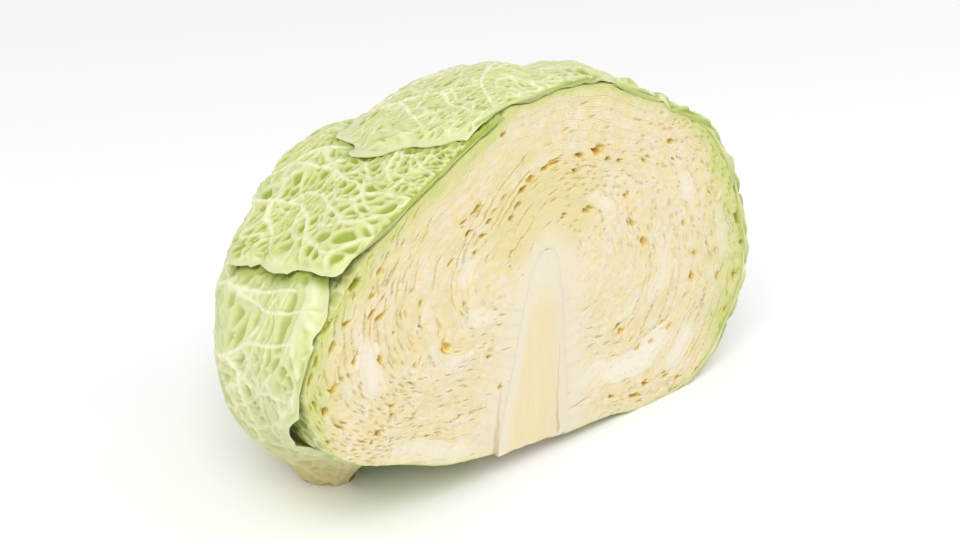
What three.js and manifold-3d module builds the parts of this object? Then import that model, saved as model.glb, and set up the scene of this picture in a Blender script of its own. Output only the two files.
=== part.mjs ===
// Half a savoy cabbage, cut lengthwise through its stem, standing on its leaf bases.
// Millimetres, +Z up. The cut face lies on a plane of constant Y and faces -Y.
import * as THREE from "three";
import { mergeVertices } from "three/addons/utils/BufferGeometryUtils.js";
import Module from "manifold-3d";

// Driving dimensions of the head
const HEAD_REACH = 98; // from the head's middle to the widest side of the cut face
const HEAD_DEPTH = 93; // from the cut face to the back
const MIDDLE = new THREE.Vector3(8, 0, -5); // where directions over the head are measured from
const GROWING_POINT = new THREE.Vector3(5.5, 0, 8); // all leaf layers nest round this point
const TABLE_Z = -59.3; // the surface that the half stands on, before the group is shifted

// Outline of the cut face: its reach every 15 degrees anticlockwise from +X, as shares of HEAD_REACH
const RIM_SHAPE = [
  0.947, 0.863, 0.755, 0.676, 0.637, 0.622, 0.612, 0.612, 0.633, 0.673, 0.765, 0.898,
  0.99, 0.94, 0.735, 0.612, 0.536, 0.5, 0.505, 0.53, 0.612, 0.786, 0.934, 1.012,
];
const ROUNDNESS = 1.95; // 2 is an ellipse from the cut face to the back, more is fuller
// Where the head is fuller or flatter than that: the heel that the back stands on, and the left flank
const SWELLINGS = [
  { azimuth: 78, elevation: -44, spread: 22, rise: 13 },
  { azimuth: 139, elevation: 17, spread: 24, rise: -3.2 },
];

// Inner leaves: nested cups with a wavy cut edge
const CUP_COUNT = 10;
const INNER_DEPTH = 3.1; // depth of the inner head below the outermost surface, where outer leaves cover it
const BARE_DEPTH = 0.8; // the same under the head, where it is mostly bare
const CUP_OUTERMOST = 0.982; // size of the outermost cup as a share of the inner head
const CUP_INNERMOST = 0.3; // where the heart starts
const CUP_GAP_SHARE = 0.28; // part of each step between cups that is air
const CUP_COLUMNS = 64;
const CUP_ROW_ANGLES = [0, 9, 34]; // degrees from the cut face towards the back
const OUTERMOST_ROW_ANGLES = [0, 9, 21, 34, 52, 70]; // the same for the skin that the outer leaves lie on
const WAVE = 0.017; // how far a cut edge waves, as a share of the inner head
const WAVE_FADE = 15; // degrees from the cut face over which the waves die down
const WAVE_STEP = 0.13; // layers nearer than this wave nearly alike

// Stem
const STEM_PROFILE = [
  [0, 15.2],
  [1.5, 15.8],
  [10, 14.2],
  [23, 11.6],
  [42, 8.6],
  [54, 5.4],
  [58, 2.6],
]; // height above the trimmed end, radius
const STEM_BASE = new THREE.Vector3(1.5, 0, -51.5);
const STEM_LEAN = 5; // degrees towards +X
const STEM_SIDES = 28;
const CLEARANCE = 0.35; // between touching pieces

// Heart: the crumpled young leaves round the growing point
const HEART_SIZE = 0.28;
const HEART_RINGS = [0.28, 0.5, 0.72, 0.88, 1];
const HEART_RELIEF = 1.6; // depth of the folds in its cut face
const HEART_RAGGED = 0.08; // how far its rings are shaken inwards, as a share of their size

// Outer leaves
const BLADE = 0.95; // thickness
const NET_HEIGHT = 1.7; // how far the net stands above the dimples
const RIB_HEIGHT = 1.9;
const RIB_HALF_WIDTH = 8;
const LEAF_SLAB = 3.1; // height given to each leaf in the pile
const LEAF_BED = 0.6; // height above the inner head at which the first outer leaf lies
const BEND_REACH = 90; // mm of leaf for each radian round the head
const MARGIN_LIFT = 1.3; // how far a free margin curls off
const PILE_INSIDE = 6; // mm outside a leaf's outline over which it still carries the next leaf fully
const PILE_FADE = 16; // mm over which that support fades out
const NARROW_BASE = 0.62; // width at the base as a share of the full width
const GRID_SHAKE = 0.35; // how far the points of a leaf's grid are moved at random, as a share of a cell
const DIMPLE_STEP = 3; // one point in so many is a dimple of the net
const MARGIN_LOBES = [
  { count: 7, size: 0.045 },
  { count: 13, size: 0.03 },
]; // waves round a leaf's outline, as shares of its half sizes

// Direction of each leaf's middle and of its tip as [azimuth, elevation] in degrees, from the inside out.
// Azimuth 0 is +X, 90 the back, 180 -X. Half sizes in mm along and across the midrib.
const OUTER_LEAVES = [
  { name: "leaf_right", middle: [10, 2], tip: [10, 90], half: [88, 62], cells: 15, seed: 11 },
  { name: "leaf_back_right", middle: [60, -12], tip: [60, 90], half: [72, 66], cells: 17, seed: 12 },
  { name: "leaf_back_left", middle: [112, -16], tip: [112, 90], half: [68, 60], cells: 17, seed: 13 },
  { name: "leaf_lower_left", middle: [136, -6], tip: [121, 55], half: [53, 78], cells: 17, seed: 14 },
  { name: "leaf_upper_left", middle: [149, 45], tip: [170, 15], half: [56, 53], cells: 17, seed: 15 },
  { name: "leaf_top", middle: [104, 76], tip: [216, 34], half: [52, 70], cells: 19, seed: 16 },
];
// Where one leaf hangs clear of the head: its loose base, down to the table, its cut edge and its flank
const SLINGS = [
  { leaf: "leaf_lower_left", azimuth: 142, elevation: -34, spread: 10, rise: 17 },
  { leaf: "leaf_lower_left", azimuth: 184, elevation: -9, spread: 8, rise: 4.5 },
  { leaf: "leaf_lower_left", azimuth: 148, elevation: -20, spread: 8, rise: 5.5 },
];

const COLOURS = {
  outer: 0xb9d67a,
  inner: 0xf0e6b8,
  rim: 0xdde59a,
  heart: 0xeee07c,
  stem: 0xf3eecb,
};

const wasm = await Module();
wasm.setup();

const radians = THREE.MathUtils.degToRad;

function direction(azimuth, elevation) {
  const a = radians(azimuth);
  const e = radians(elevation);
  return new THREE.Vector3(Math.cos(e) * Math.cos(a), Math.cos(e) * Math.sin(a), Math.sin(e));
}

// Repeatable random numbers from 0 to 1
function randomStream(seed) {
  let state = seed;
  return () => {
    state = (state + 0x6d2b79f5) | 0;
    let mixed = Math.imul(state ^ (state >>> 15), 1 | state);
    mixed = (mixed + Math.imul(mixed ^ (mixed >>> 7), 61 | mixed)) ^ mixed;
    return ((mixed ^ (mixed >>> 14)) >>> 0) / 4294967296;
  };
}

// ---- The head's surface ----

function rimReach(angle) {
  const count = RIM_SHAPE.length;
  const place = (((angle / (2 * Math.PI)) * count) % count + count) % count;
  const first = Math.floor(place);
  const t = place - first;
  const [a, b, c, d] = [-1, 0, 1, 2].map((k) => RIM_SHAPE[(first + k + count) % count]);
  const bend = (2 * a - 5 * b + 4 * c - d) * t ** 2 + (3 * b - a - 3 * c + d) * t ** 3;
  return HEAD_REACH * (b + 0.5 * ((c - a) * t + bend));
}

// A smooth swelling round one direction, 0 to 1
function swelling(d, spot) {
  const apart = THREE.MathUtils.radToDeg(d.angleTo(direction(spot.azimuth, spot.elevation)));
  return Math.exp(-0.5 * (apart / spot.spread) ** 2);
}

// What several swellings add up to in mm
function risen(spots, d) {
  return spots.reduce((sum, spot) => sum + spot.rise * swelling(d, spot), 0);
}

function headReach(d) {
  const across = Math.hypot(d.x, d.z);
  const rim = across / rimReach(Math.atan2(d.z, d.x));
  const back = Math.abs(d.y) / HEAD_DEPTH;
  const plain = (rim ** ROUNDNESS + back ** ROUNDNESS) ** (-1 / ROUNDNESS);
  return plain + risen(SWELLINGS, d);
}

// The point in direction d at a given height above the surface of the inner head
function headPoint(d, height) {
  const depth = THREE.MathUtils.lerp(INNER_DEPTH, BARE_DEPTH, THREE.MathUtils.smoothstep(-d.z, 0.3, 0.7));
  return MIDDLE.clone().addScaledVector(d, headReach(d) - depth + height);
}

// The point of the nested surface of a given size, in direction d of the inner head
function nested(size, d) {
  return GROWING_POINT.clone().lerp(headPoint(d, 0), size);
}

// ---- Solids ----

function solidOf(vertices, triangles) {
  const positions = new Float32Array(vertices.flatMap((v) => [v.x, v.y, v.z]));
  return new wasm.Manifold(
    new wasm.Mesh({ numProp: 3, vertProperties: positions, triVerts: new Uint32Array(triangles.flat()) }),
  );
}

function solidOfGeometry(geometry) {
  const bare = geometry.clone();
  bare.deleteAttribute("normal");
  bare.deleteAttribute("uv");
  const merged = mergeVertices(bare, 1e-4);
  return new wasm.Manifold(
    new wasm.Mesh({
      numProp: 3,
      vertProperties: merged.attributes.position.array,
      triVerts: new Uint32Array(merged.index.array),
    }),
  );
}

// The largest body of a solid that a cut may have left in pieces
function largest(solid) {
  return solid.decompose().reduce((a, b) => (b.volume() > a.volume() ? b : a));
}

function meshOf(name, solid, colour, roughness) {
  const body = largest(solid).getMesh();
  const geometry = new THREE.BufferGeometry();
  geometry.setAttribute("position", new THREE.BufferAttribute(new Float32Array(body.vertProperties), 3));
  geometry.setIndex(new THREE.BufferAttribute(new Uint32Array(body.triVerts), 1));
  const material = new THREE.MeshStandardMaterial({ color: colour, roughness, metalness: 0 });
  const mesh = new THREE.Mesh(geometry, material);
  mesh.name = name;
  return mesh;
}

// Everything behind the cut and above the table
function keptSpace() {
  const size = 400;
  const box = new THREE.BoxGeometry(size, size, size);
  box.translate(0, size / 2, TABLE_Z + size / 2);
  return solidOfGeometry(box);
}

// ---- Stem ----

function stemSolid(extra) {
  const profile = STEM_PROFILE.map(([height, radius]) => new THREE.Vector2(radius + extra, height));
  profile[0].y -= extra;
  profile[profile.length - 1].y += extra;
  const [bottom, top] = [profile[0].y, profile[profile.length - 1].y];
  const closed = [new THREE.Vector2(0, bottom), ...profile, new THREE.Vector2(0, top)];
  const lathe = new THREE.LatheGeometry(closed, STEM_SIDES);
  lathe.rotateX(Math.PI / 2);
  lathe.rotateY(radians(STEM_LEAN));
  lathe.translate(STEM_BASE.x, STEM_BASE.y, STEM_BASE.z);
  return solidOfGeometry(lathe);
}

// ---- Inner leaves ----

// Columns stand at even steps along the rim of the cut face
function rimAngles(count) {
  const steps = 720;
  const lengths = [0];
  for (let i = 1; i <= steps; i += 1) {
    const [a, b] = [i - 1, i].map((k) => {
      const angle = (2 * Math.PI * k) / steps;
      const reach = rimReach(angle);
      return new THREE.Vector2(reach * Math.cos(angle), reach * Math.sin(angle));
    });
    lengths.push(lengths[i - 1] + a.distanceTo(b));
  }
  const angles = [];
  let at = 0;
  for (let column = 0; column < count; column += 1) {
    const wanted = (lengths[steps] * column) / count;
    while (lengths[at + 1] < wanted) at += 1;
    const between = (wanted - lengths[at]) / (lengths[at + 1] - lengths[at]);
    angles.push((2 * Math.PI * (at + between)) / steps);
  }
  return angles;
}

const CUP_ANGLES = rimAngles(CUP_COLUMNS);
const waveRandom = randomStream(5);
const WAVE_TABLE = CUP_ANGLES.map(() => Array.from({ length: 10 }, () => 2 * waveRandom() - 1));

// How far a layer of a given size waves at a column, alike for near layers
function waveAt(column, size) {
  const place = size / WAVE_STEP;
  const first = Math.floor(place);
  const row = WAVE_TABLE[column];
  const between = THREE.MathUtils.smoothstep(place - first, 0, 1);
  return WAVE * THREE.MathUtils.lerp(row[first], row[first + 1], between);
}

function cupPoint(size, column, rowAngle) {
  const angle = CUP_ANGLES[column];
  const tilt = radians(rowAngle);
  const level = Math.cos(tilt);
  const d = new THREE.Vector3(level * Math.cos(angle), Math.sin(tilt), level * Math.sin(angle));
  return nested(size + waveAt(column, size) * Math.exp(-rowAngle / WAVE_FADE), d);
}

// A cup between two sizes: an outer and an inner skin, each closed at its pole, joined along the cut edge
function cupSolid(outerSize, innerSize, outerRowAngles) {
  const vertices = [];
  const triangles = [];
  const addSkin = (size, rowAngles, facesOut) => {
    const start = vertices.length;
    for (const rowAngle of rowAngles) {
      for (let column = 0; column < CUP_COLUMNS; column += 1) vertices.push(cupPoint(size, column, rowAngle));
    }
    const pole = vertices.length;
    vertices.push(nested(size, new THREE.Vector3(0, 1, 0)));
    const add = (a, b, c) => triangles.push(facesOut ? [a, b, c] : [a, c, b]);
    for (let column = 0; column < CUP_COLUMNS; column += 1) {
      const next = (column + 1) % CUP_COLUMNS;
      for (let row = 0; row + 1 < rowAngles.length; row += 1) {
        const a = start + row * CUP_COLUMNS + column;
        const b = start + row * CUP_COLUMNS + next;
        add(a, a + CUP_COLUMNS, b);
        add(b, a + CUP_COLUMNS, b + CUP_COLUMNS);
      }
      const last = start + (rowAngles.length - 1) * CUP_COLUMNS;
      add(last + column, pole, last + next);
    }
    return start;
  };
  const outer = addSkin(outerSize, outerRowAngles, true);
  const inner = addSkin(innerSize, CUP_ROW_ANGLES, false);
  for (let column = 0; column < CUP_COLUMNS; column += 1) {
    const next = (column + 1) % CUP_COLUMNS;
    triangles.push([outer + column, outer + next, inner + column]);
    triangles.push([outer + next, inner + next, inner + column]);
  }
  return solidOf(vertices, triangles);
}

// ---- Heart ----

function heartSolid() {
  const random = randomStream(9);
  const columns = CUP_COLUMNS / 2;
  const angles = rimAngles(columns);
  const vertices = [GROWING_POINT.clone().setY(HEART_RELIEF * 0.5)];
  const triangles = [];
  HEART_RINGS.forEach((share, ring) => {
    angles.forEach((angle, column) => {
      const d = new THREE.Vector3(Math.cos(angle), 0, Math.sin(angle));
      const folded = (column + ring) % 3 === 0 ? 1 : 0.25;
      const point = nested(HEART_SIZE * share * (1 - HEART_RAGGED * random()), d);
      point.y = share < 1 ? HEART_RELIEF * folded * random() : 0;
      vertices.push(point);
    });
  });
  for (const tilt of CUP_ROW_ANGLES.slice(1)) {
    const [level, out] = [Math.cos(radians(tilt)), Math.sin(radians(tilt))];
    angles.forEach((angle) => {
      const d = new THREE.Vector3(level * Math.cos(angle), out, level * Math.sin(angle));
      vertices.push(nested(HEART_SIZE * (1 - HEART_RAGGED * random()), d));
    });
  }
  vertices.push(nested(HEART_SIZE, new THREE.Vector3(0, 1, 0)));
  const rings = HEART_RINGS.length + CUP_ROW_ANGLES.length - 1;
  for (let column = 0; column < columns; column += 1) {
    const next = (column + 1) % columns;
    triangles.push([0, 1 + column, 1 + next]);
    for (let ring = 0; ring + 1 < rings; ring += 1) {
      const a = 1 + ring * columns + column;
      const b = 1 + ring * columns + next;
      triangles.push([a, a + columns, b], [b, a + columns, b + columns]);
    }
    const last = 1 + (rings - 1) * columns;
    triangles.push([last + column, vertices.length - 1, last + next]);
  }
  return solidOf(vertices, triangles);
}

// ---- Outer leaves ----

// A leaf's own frame: its middle's direction, and the tangents along and across its midrib
function leafFrame(leaf) {
  const middle = direction(...leaf.middle);
  const along = direction(...leaf.tip);
  along.addScaledVector(middle, -along.dot(middle)).normalize();
  const across = new THREE.Vector3().crossVectors(along, middle);
  return { middle, along, across };
}

// Direction of a point of the leaf, given in mm across and along its midrib
function leafDirection(frame, across, along) {
  const sideways = across / BEND_REACH;
  const forwards = along / BEND_REACH;
  return new THREE.Vector3()
    .addScaledVector(frame.middle, Math.cos(sideways) * Math.cos(forwards))
    .addScaledVector(frame.along, Math.cos(sideways) * Math.sin(forwards))
    .addScaledVector(frame.across, Math.sin(sideways));
}

// Narrow at the base, broad past the middle
function widthShare(along) {
  return THREE.MathUtils.lerp(NARROW_BASE, 1, THREE.MathUtils.smoothstep(along, -1, 0.15));
}

// 1 where a leaf carries what lies on it, 0 well outside its outline
function support(leaf, d) {
  const frame = leaf.frame;
  const across = BEND_REACH * Math.asin(THREE.MathUtils.clamp(d.dot(frame.across), -1, 1));
  const along = BEND_REACH * Math.atan2(d.dot(frame.along), d.dot(frame.middle));
  const v = along / leaf.half[0];
  const u = across / (leaf.half[1] * widthShare(v));
  const outside = (Math.hypot(u, v) - 1) * Math.min(...leaf.half);
  return 1 - THREE.MathUtils.smoothstep(outside, PILE_INSIDE, PILE_INSIDE + PILE_FADE);
}

// The point a given height above the bed that the outer leaves lie on, measured square to the bed
function aboveBed(d, height) {
  const step = 0.01;
  const side = new THREE.Vector3(d.z, 0, -d.x);
  if (side.lengthSq() < 1e-6) side.set(1, 0, 0);
  side.normalize();
  const up = new THREE.Vector3().crossVectors(d, side);
  const near = (a, b) => {
    const turned = d.clone().addScaledVector(side, a).addScaledVector(up, b).normalize();
    return headPoint(turned, LEAF_BED);
  };
  const east = near(step, 0).sub(near(-step, 0));
  const north = near(0, step).sub(near(0, -step));
  const normal = new THREE.Vector3().crossVectors(east, north).normalize();
  if (normal.dot(d) < 0) normal.negate();
  return headPoint(d, LEAF_BED).addScaledVector(normal, height);
}

// A square grid bent into a disc, so that the triangles stay even up to the leaf's margin
function discPlace(i, j, cells) {
  const a = (2 * i) / cells - 1;
  const b = (2 * j) / cells - 1;
  return [a * Math.sqrt(1 - (b * b) / 2), b * Math.sqrt(1 - (a * a) / 2)];
}

// Height of a leaf's underside above the bed: what it lies on, its net and midrib, its curl and its loose base
function leafHeight(leaf, index, d, place, random) {
  const carried = OUTER_LEAVES.slice(0, index).map((other) => support(other, d));
  const covered = OUTER_LEAVES.slice(index + 1).map((other) => support(other, d));
  const pile = LEAF_SLAB * carried.reduce((sum, share) => sum + share, 0);
  const net = NET_HEIGHT * (place.dimple ? 0 : 0.75 + 0.25 * random());
  const taper = 0.25 + 0.75 * THREE.MathUtils.smoothstep(-place.v, -0.9, 1);
  const rib = RIB_HEIGHT * taper * Math.exp(-0.5 * ((2 * place.across) / RIB_HALF_WIDTH) ** 2);
  const free = 1 - Math.max(0, ...covered);
  const curl = MARGIN_LIFT * free * THREE.MathUtils.smoothstep(place.out, 0.8, 1) * (0.4 + 0.6 * random());
  const slings = SLINGS.filter((spot) => spot.leaf === leaf.name);
  return pile + Math.max(net, rib) + curl + risen(slings, d);
}

function leafSolid(leaf, index) {
  const random = randomStream(leaf.seed);
  const phases = MARGIN_LOBES.map(() => random() * 2 * Math.PI);
  const side = leaf.cells + 1;
  const [lower, upper] = [[], []];
  for (let j = 0; j < side; j += 1) {
    for (let i = 0; i < side; i += 1) {
      let [u, v] = discPlace(i, j, leaf.cells);
      const out = Math.hypot(u, v);
      const turn = Math.atan2(v, u);
      const waves = MARGIN_LOBES.map((lobe, k) => lobe.size * Math.sin(lobe.count * turn + phases[k]));
      const stretch = 1 + (waves[0] + waves[1]) * out ** 4;
      const shake = out < 0.95 ? GRID_SHAKE / leaf.cells : 0;
      u = u * stretch + shake * (2 * random() - 1);
      v = v * stretch + shake * (2 * random() - 1);
      const across = u * leaf.half[1] * widthShare(v);
      const d = leafDirection(leaf.frame, across, v * leaf.half[0]);
      const place = { across, v, out, dimple: (i + j) % DIMPLE_STEP === 0 };
      const height = leafHeight(leaf, index, d, place, random);
      lower.push(aboveBed(d, height));
      upper.push(aboveBed(d, height + BLADE));
    }
  }
  return sheetSolid(lower, upper, side);
}

// Two alike grids of points closed along their margin
function sheetSolid(lower, upper, side) {
  const count = side * side;
  const triangles = [];
  const at = (i, j) => j * side + i;
  for (let j = 0; j + 1 < side; j += 1) {
    for (let i = 0; i + 1 < side; i += 1) {
      const [a, b, c, d] = [at(i, j), at(i + 1, j), at(i + 1, j + 1), at(i, j + 1)];
      triangles.push([count + a, count + b, count + c], [count + a, count + c, count + d]);
      triangles.push([a, c, b], [a, d, c]);
    }
  }
  const margin = [];
  for (let k = 0; k + 1 < side; k += 1) margin.push(at(k, 0));
  for (let k = 0; k + 1 < side; k += 1) margin.push(at(side - 1, k));
  for (let k = side - 1; k > 0; k -= 1) margin.push(at(k, side - 1));
  for (let k = side - 1; k > 0; k -= 1) margin.push(at(0, k));
  margin.forEach((a, k) => {
    const b = margin[(k + 1) % margin.length];
    triangles.push([a, b, count + a], [b, count + b, count + a]);
  });
  return solidOf([...lower, ...upper], triangles);
}

// ---- The half head ----

const kept = keptSpace();
const head = new THREE.Group();

head.add(meshOf("stem", stemSolid(0).intersect(kept), COLOURS.stem, 0.6));
const stemRoom = stemSolid(CLEARANCE);
head.add(meshOf("heart", heartSolid().intersect(kept).subtract(stemRoom), COLOURS.heart, 0.6));

const cupStep = (CUP_OUTERMOST - CUP_INNERMOST) / CUP_COUNT;
for (let cup = 0; cup < CUP_COUNT; cup += 1) {
  const outerSize = CUP_OUTERMOST - cup * cupStep;
  const innerSize = outerSize - cupStep * (1 - CUP_GAP_SHARE);
  const rowAngles = cup < 1 ? OUTERMOST_ROW_ANGLES : CUP_ROW_ANGLES;
  const solid = cupSolid(outerSize, innerSize, rowAngles).intersect(kept).subtract(stemRoom);
  const name = "inner_leaf_" + String(cup + 1).padStart(2, "0");
  head.add(meshOf(name, solid, cup < 1 ? COLOURS.rim : COLOURS.inner, 0.6));
}

OUTER_LEAVES.forEach((leaf) => {
  leaf.frame = leafFrame(leaf);
});
OUTER_LEAVES.forEach((leaf, index) => {
  const solid = leafSolid(leaf, index).intersect(kept);
  head.add(meshOf(leaf.name, solid, COLOURS.outer, 0.5));
});

// Origin: middle of the part's box, on the surface that it stands on
const box = new THREE.Box3().setFromObject(head);
const group = new THREE.Group();
head.position.set(-(box.min.x + box.max.x) / 2, -(box.min.y + box.max.y) / 2, -box.min.z);
group.add(head);

export default group;
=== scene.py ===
"""Half a savoy cabbage, cut lengthwise: the looks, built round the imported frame.

Shapes are worked out in millimetres in the head's own coordinates: the cut face on y = 0, +Y towards the
back, +Z up along the stem. SHIFT then moves them into the frame, in metres.
"""

import math

import bmesh
import bpy
import numpy as np
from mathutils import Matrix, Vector


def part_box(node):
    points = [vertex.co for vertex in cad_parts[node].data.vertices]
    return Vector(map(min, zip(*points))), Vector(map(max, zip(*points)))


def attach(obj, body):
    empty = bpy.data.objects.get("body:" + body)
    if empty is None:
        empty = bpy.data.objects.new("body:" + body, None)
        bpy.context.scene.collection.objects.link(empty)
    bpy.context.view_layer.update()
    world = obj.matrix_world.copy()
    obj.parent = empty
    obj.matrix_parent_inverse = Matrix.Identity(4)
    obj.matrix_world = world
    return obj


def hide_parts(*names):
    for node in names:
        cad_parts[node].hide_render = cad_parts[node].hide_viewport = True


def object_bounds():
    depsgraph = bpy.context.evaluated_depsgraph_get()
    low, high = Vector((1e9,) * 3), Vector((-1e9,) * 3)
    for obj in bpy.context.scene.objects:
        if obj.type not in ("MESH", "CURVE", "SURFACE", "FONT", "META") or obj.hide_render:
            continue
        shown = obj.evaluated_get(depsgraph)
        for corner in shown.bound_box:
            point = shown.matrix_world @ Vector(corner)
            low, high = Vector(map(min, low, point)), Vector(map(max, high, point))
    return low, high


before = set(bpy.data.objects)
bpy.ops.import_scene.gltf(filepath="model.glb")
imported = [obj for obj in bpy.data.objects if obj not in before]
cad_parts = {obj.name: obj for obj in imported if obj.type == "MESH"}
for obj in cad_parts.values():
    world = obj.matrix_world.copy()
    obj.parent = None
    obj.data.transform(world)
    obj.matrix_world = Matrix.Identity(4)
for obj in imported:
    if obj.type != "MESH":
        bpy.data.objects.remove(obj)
cad_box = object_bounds()

# ---------------------------------------------------------------- driving sizes, as in the CAD source (mm)
MM = 0.001
HEAD_REACH = 98.0
HEAD_DEPTH = 93.0
MIDDLE = np.array([8.0, 0.0, -5.0])
GROWING_POINT = np.array([5.5, 0.0, 8.0])
TABLE_Z = -59.3
RIM_SHAPE = np.array([
    0.947, 0.863, 0.755, 0.676, 0.637, 0.622, 0.612, 0.612, 0.633, 0.673, 0.765, 0.898,
    0.99, 0.94, 0.735, 0.612, 0.536, 0.5, 0.505, 0.53, 0.612, 0.786, 0.934, 1.012,
])
ROUNDNESS = 1.95
SWELLINGS = [
    {"azimuth": 78, "elevation": -44, "spread": 22, "rise": 13},
    {"azimuth": 139, "elevation": 17, "spread": 24, "rise": -3.2},
]
INNER_DEPTH = 3.1
BARE_DEPTH = 0.8

CUP_COUNT = 10
CUP_INNERMOST = 0.3

STEM_BASE = np.array([1.5, 0.0, -51.5])
STEM_LEAN = math.radians(5)
STEM_WIDEST = (1.5, 15.8)  # height above the trimmed end, radius
STEM_PROFILE = [(0, 15.2), (1.5, 15.8), (10, 14.2), (23, 11.6), (42, 8.6), (54, 5.4), (58, 2.6)]

BLADE = 0.95
NET_HEIGHT = 1.7
RIB_HEIGHT = 1.9
RIB_HALF_WIDTH = 8.0
LEAF_SLAB = 3.1
LEAF_BED = 0.6
BEND_REACH = 90.0
MARGIN_LIFT = 1.3
PILE_INSIDE = 6.0
PILE_FADE = 16.0
NARROW_BASE = 0.62

OUTER_LEAVES = [
    {"name": "leaf_right", "middle": (10, 2), "tip": (10, 90), "half": (88, 62), "seed": 11},
    {"name": "leaf_back_right", "middle": (60, -12), "tip": (60, 90), "half": (72, 66), "seed": 12},
    {"name": "leaf_back_left", "middle": (112, -16), "tip": (112, 90), "half": (68, 60), "seed": 13},
    {"name": "leaf_lower_left", "middle": (136, -6), "tip": (121, 55), "half": (53, 78), "seed": 14},
    {"name": "leaf_upper_left", "middle": (149, 45), "tip": (170, 15), "half": (56, 53), "seed": 15},
    {"name": "leaf_top", "middle": (104, 76), "tip": (216, 34), "half": (52, 70), "seed": 16},
]
SLINGS = [
    {"leaf": "leaf_lower_left", "azimuth": 142, "elevation": -34, "spread": 10, "rise": 17},
    {"leaf": "leaf_lower_left", "azimuth": 184, "elevation": -9, "spread": 8, "rise": 4.5},
    {"leaf": "leaf_lower_left", "azimuth": 148, "elevation": -20, "spread": 8, "rise": 5.5},
]

# ---------------------------------------------------------------- finer shapes, which only the looks have
# Main veins, each a line through points in mm across and along the leaf. Leaves not named here have a midrib.
VEINS = {
    "leaf_lower_left": [
        [(-45, -30), (-15, 0), (5, 11), (24, 15), (37, 14), (47, 13), (59, 16), (69, 20)],
        [(-45, -30), (-10, -10), (10, -5), (31, -1), (41, 3), (55, 6), (67, 7)],
        [(29, 15), (35, 16), (47, 20), (58, 23)],
        [(47, 13), (47, 8), (41, 3)],
        [(34, 0), (38, -5), (50, -9), (64, -9)],
        [(38, -5), (36, -14), (34, -22)],
        [(5, 11), (18, 24), (36, 33)],
    ],
    "leaf_upper_left": [
        [(54, 8), (51, 13), (42, 11), (29, 13), (22, 13), (10, 19), (3, 23), (-2, 24), (-8, 29), (-14, 35)],
        [(51, 13), (46, 23), (39, 28), (31, 29), (24, 31), (17, 32), (6, 39), (3, 45), (0, 53)],
        [(24, 31), (19, 26), (9, 29), (0, 35), (-9, 42)],
        [(31, 29), (28, 36), (23, 40), (14, 48)],
        [(22, 13), (13, 9), (5, 12), (-5, 22)],
        [(42, 11), (20, 0), (0, -1), (-4, 3), (-8, 7), (-16, 9), (-21, 14), (-32, 20)],
        [(-4, 3), (-6, 15), (-12, 20)],
    ],
    "leaf_top": [
        [(2, -50), (4, -20), (11, 10), (8, 30), (4, 50)],
        [(64, -10), (54, -8), (44, 0), (28, 8), (11, 10), (-10, 9), (-35, 4), (-60, 6)],
        [(44, 0), (41, 19), (35, 33)],
        [(28, 8), (23, 24), (17, 34)],
        [(54, -8), (36, -21), (14, -24), (-10, -22), (-40, -18)],
        [(-10, 9), (-16, 22), (-20, 36)],
        [(-35, 4), (-42, 16), (-46, 28)],
    ],
}
# Degrees that the net's cells run along
GRAIN = {"leaf_lower_left": 20, "leaf_upper_left": -68, "leaf_top": 17}
PLAIN_GRAIN = 62
SETTLED = {"leaf_top": 0.6}  # share by which a leaf's right end sinks onto what lies under it
LONG_TIPS = {"leaf_right": 7.0}  # mm that a tip runs on under the next leaf
FLAT_MARGINS = ("leaf_top",)  # leaves whose margin lies close
LUMPS = {"leaf_right": 1.5, "leaf_back_right": 0.9}  # mm that a leaf bulges in and out
PIT_TINT = {"leaf_lower_left": 0.6}  # how strongly the pits are coloured dark green, partly the leaf's own colour and partly painted shade
PALENESS = {"leaf_top": 0.7, "leaf_lower_left": 0.6, "leaf_upper_left": 0.25}
SPARSE_PITS = {"leaf_top": 0.3, "leaf_lower_left": 0.2}  # share of the net's cells that stay shallow
CELL = 3.3  # mm across a small cell of the net
WIDE_CELL = 9.5  # mm across a cell between side veins
CELL_STRETCH = 1.4
VEIN_WIDTH = 1.9  # mm
SIDE_VEIN_STEP = 15.0  # mm between side veins where a leaf has a midrib
VEINED_CELLS = 230  # cells along each side of the grid of a leaf with placed veins
PLAIN_CELLS = 160
UNDER_STRIDE = 5  # cells of the outer side for one cell of the underside
UNDER_CLEARANCE = 0.35  # mm between the underside and the table
FAR_AWAY = 99.0
SHARP_ANGLE = math.radians(65)  # edges that bend more than this are shaded sharp

stem_low, stem_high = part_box("stem")
stem_middle_x = STEM_BASE[0] + STEM_WIDEST[0] * math.sin(STEM_LEAN)
SHIFT = np.array([
    (stem_low.x + stem_high.x) / 2 - stem_middle_x * MM,
    cad_box[0].y,
    cad_box[0].z - TABLE_Z * MM,
])


# ---------------------------------------------------------------- small helpers
def smoothstep(low, high, x):
    t = np.clip((np.asarray(x, float) - low) / (high - low), 0, 1)
    return t * t * (3 - 2 * t)


def unit(v):
    return v / np.linalg.norm(v, axis=-1, keepdims=True)


def direction(azimuth, elevation):
    a, e = math.radians(azimuth), math.radians(elevation)
    return np.array([math.cos(e) * math.cos(a), math.cos(e) * math.sin(a), math.sin(e)])


def lattice(ix, iy, iz, seed):
    """Repeatable random numbers from 0 to 1 at whole-number points."""
    h = (ix * 73856093) ^ (iy * 19349663) ^ (iz * 83492791) ^ (seed * 2654435761)
    h = (h ^ (h >> 15)) & 0xFFFFFFFF
    h = (h * 2246822519) & 0xFFFFFFFF
    h = ((h ^ (h >> 13)) * 3266489917) & 0xFFFFFFFF
    return (h ^ (h >> 16)) / 4294967296.0


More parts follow.
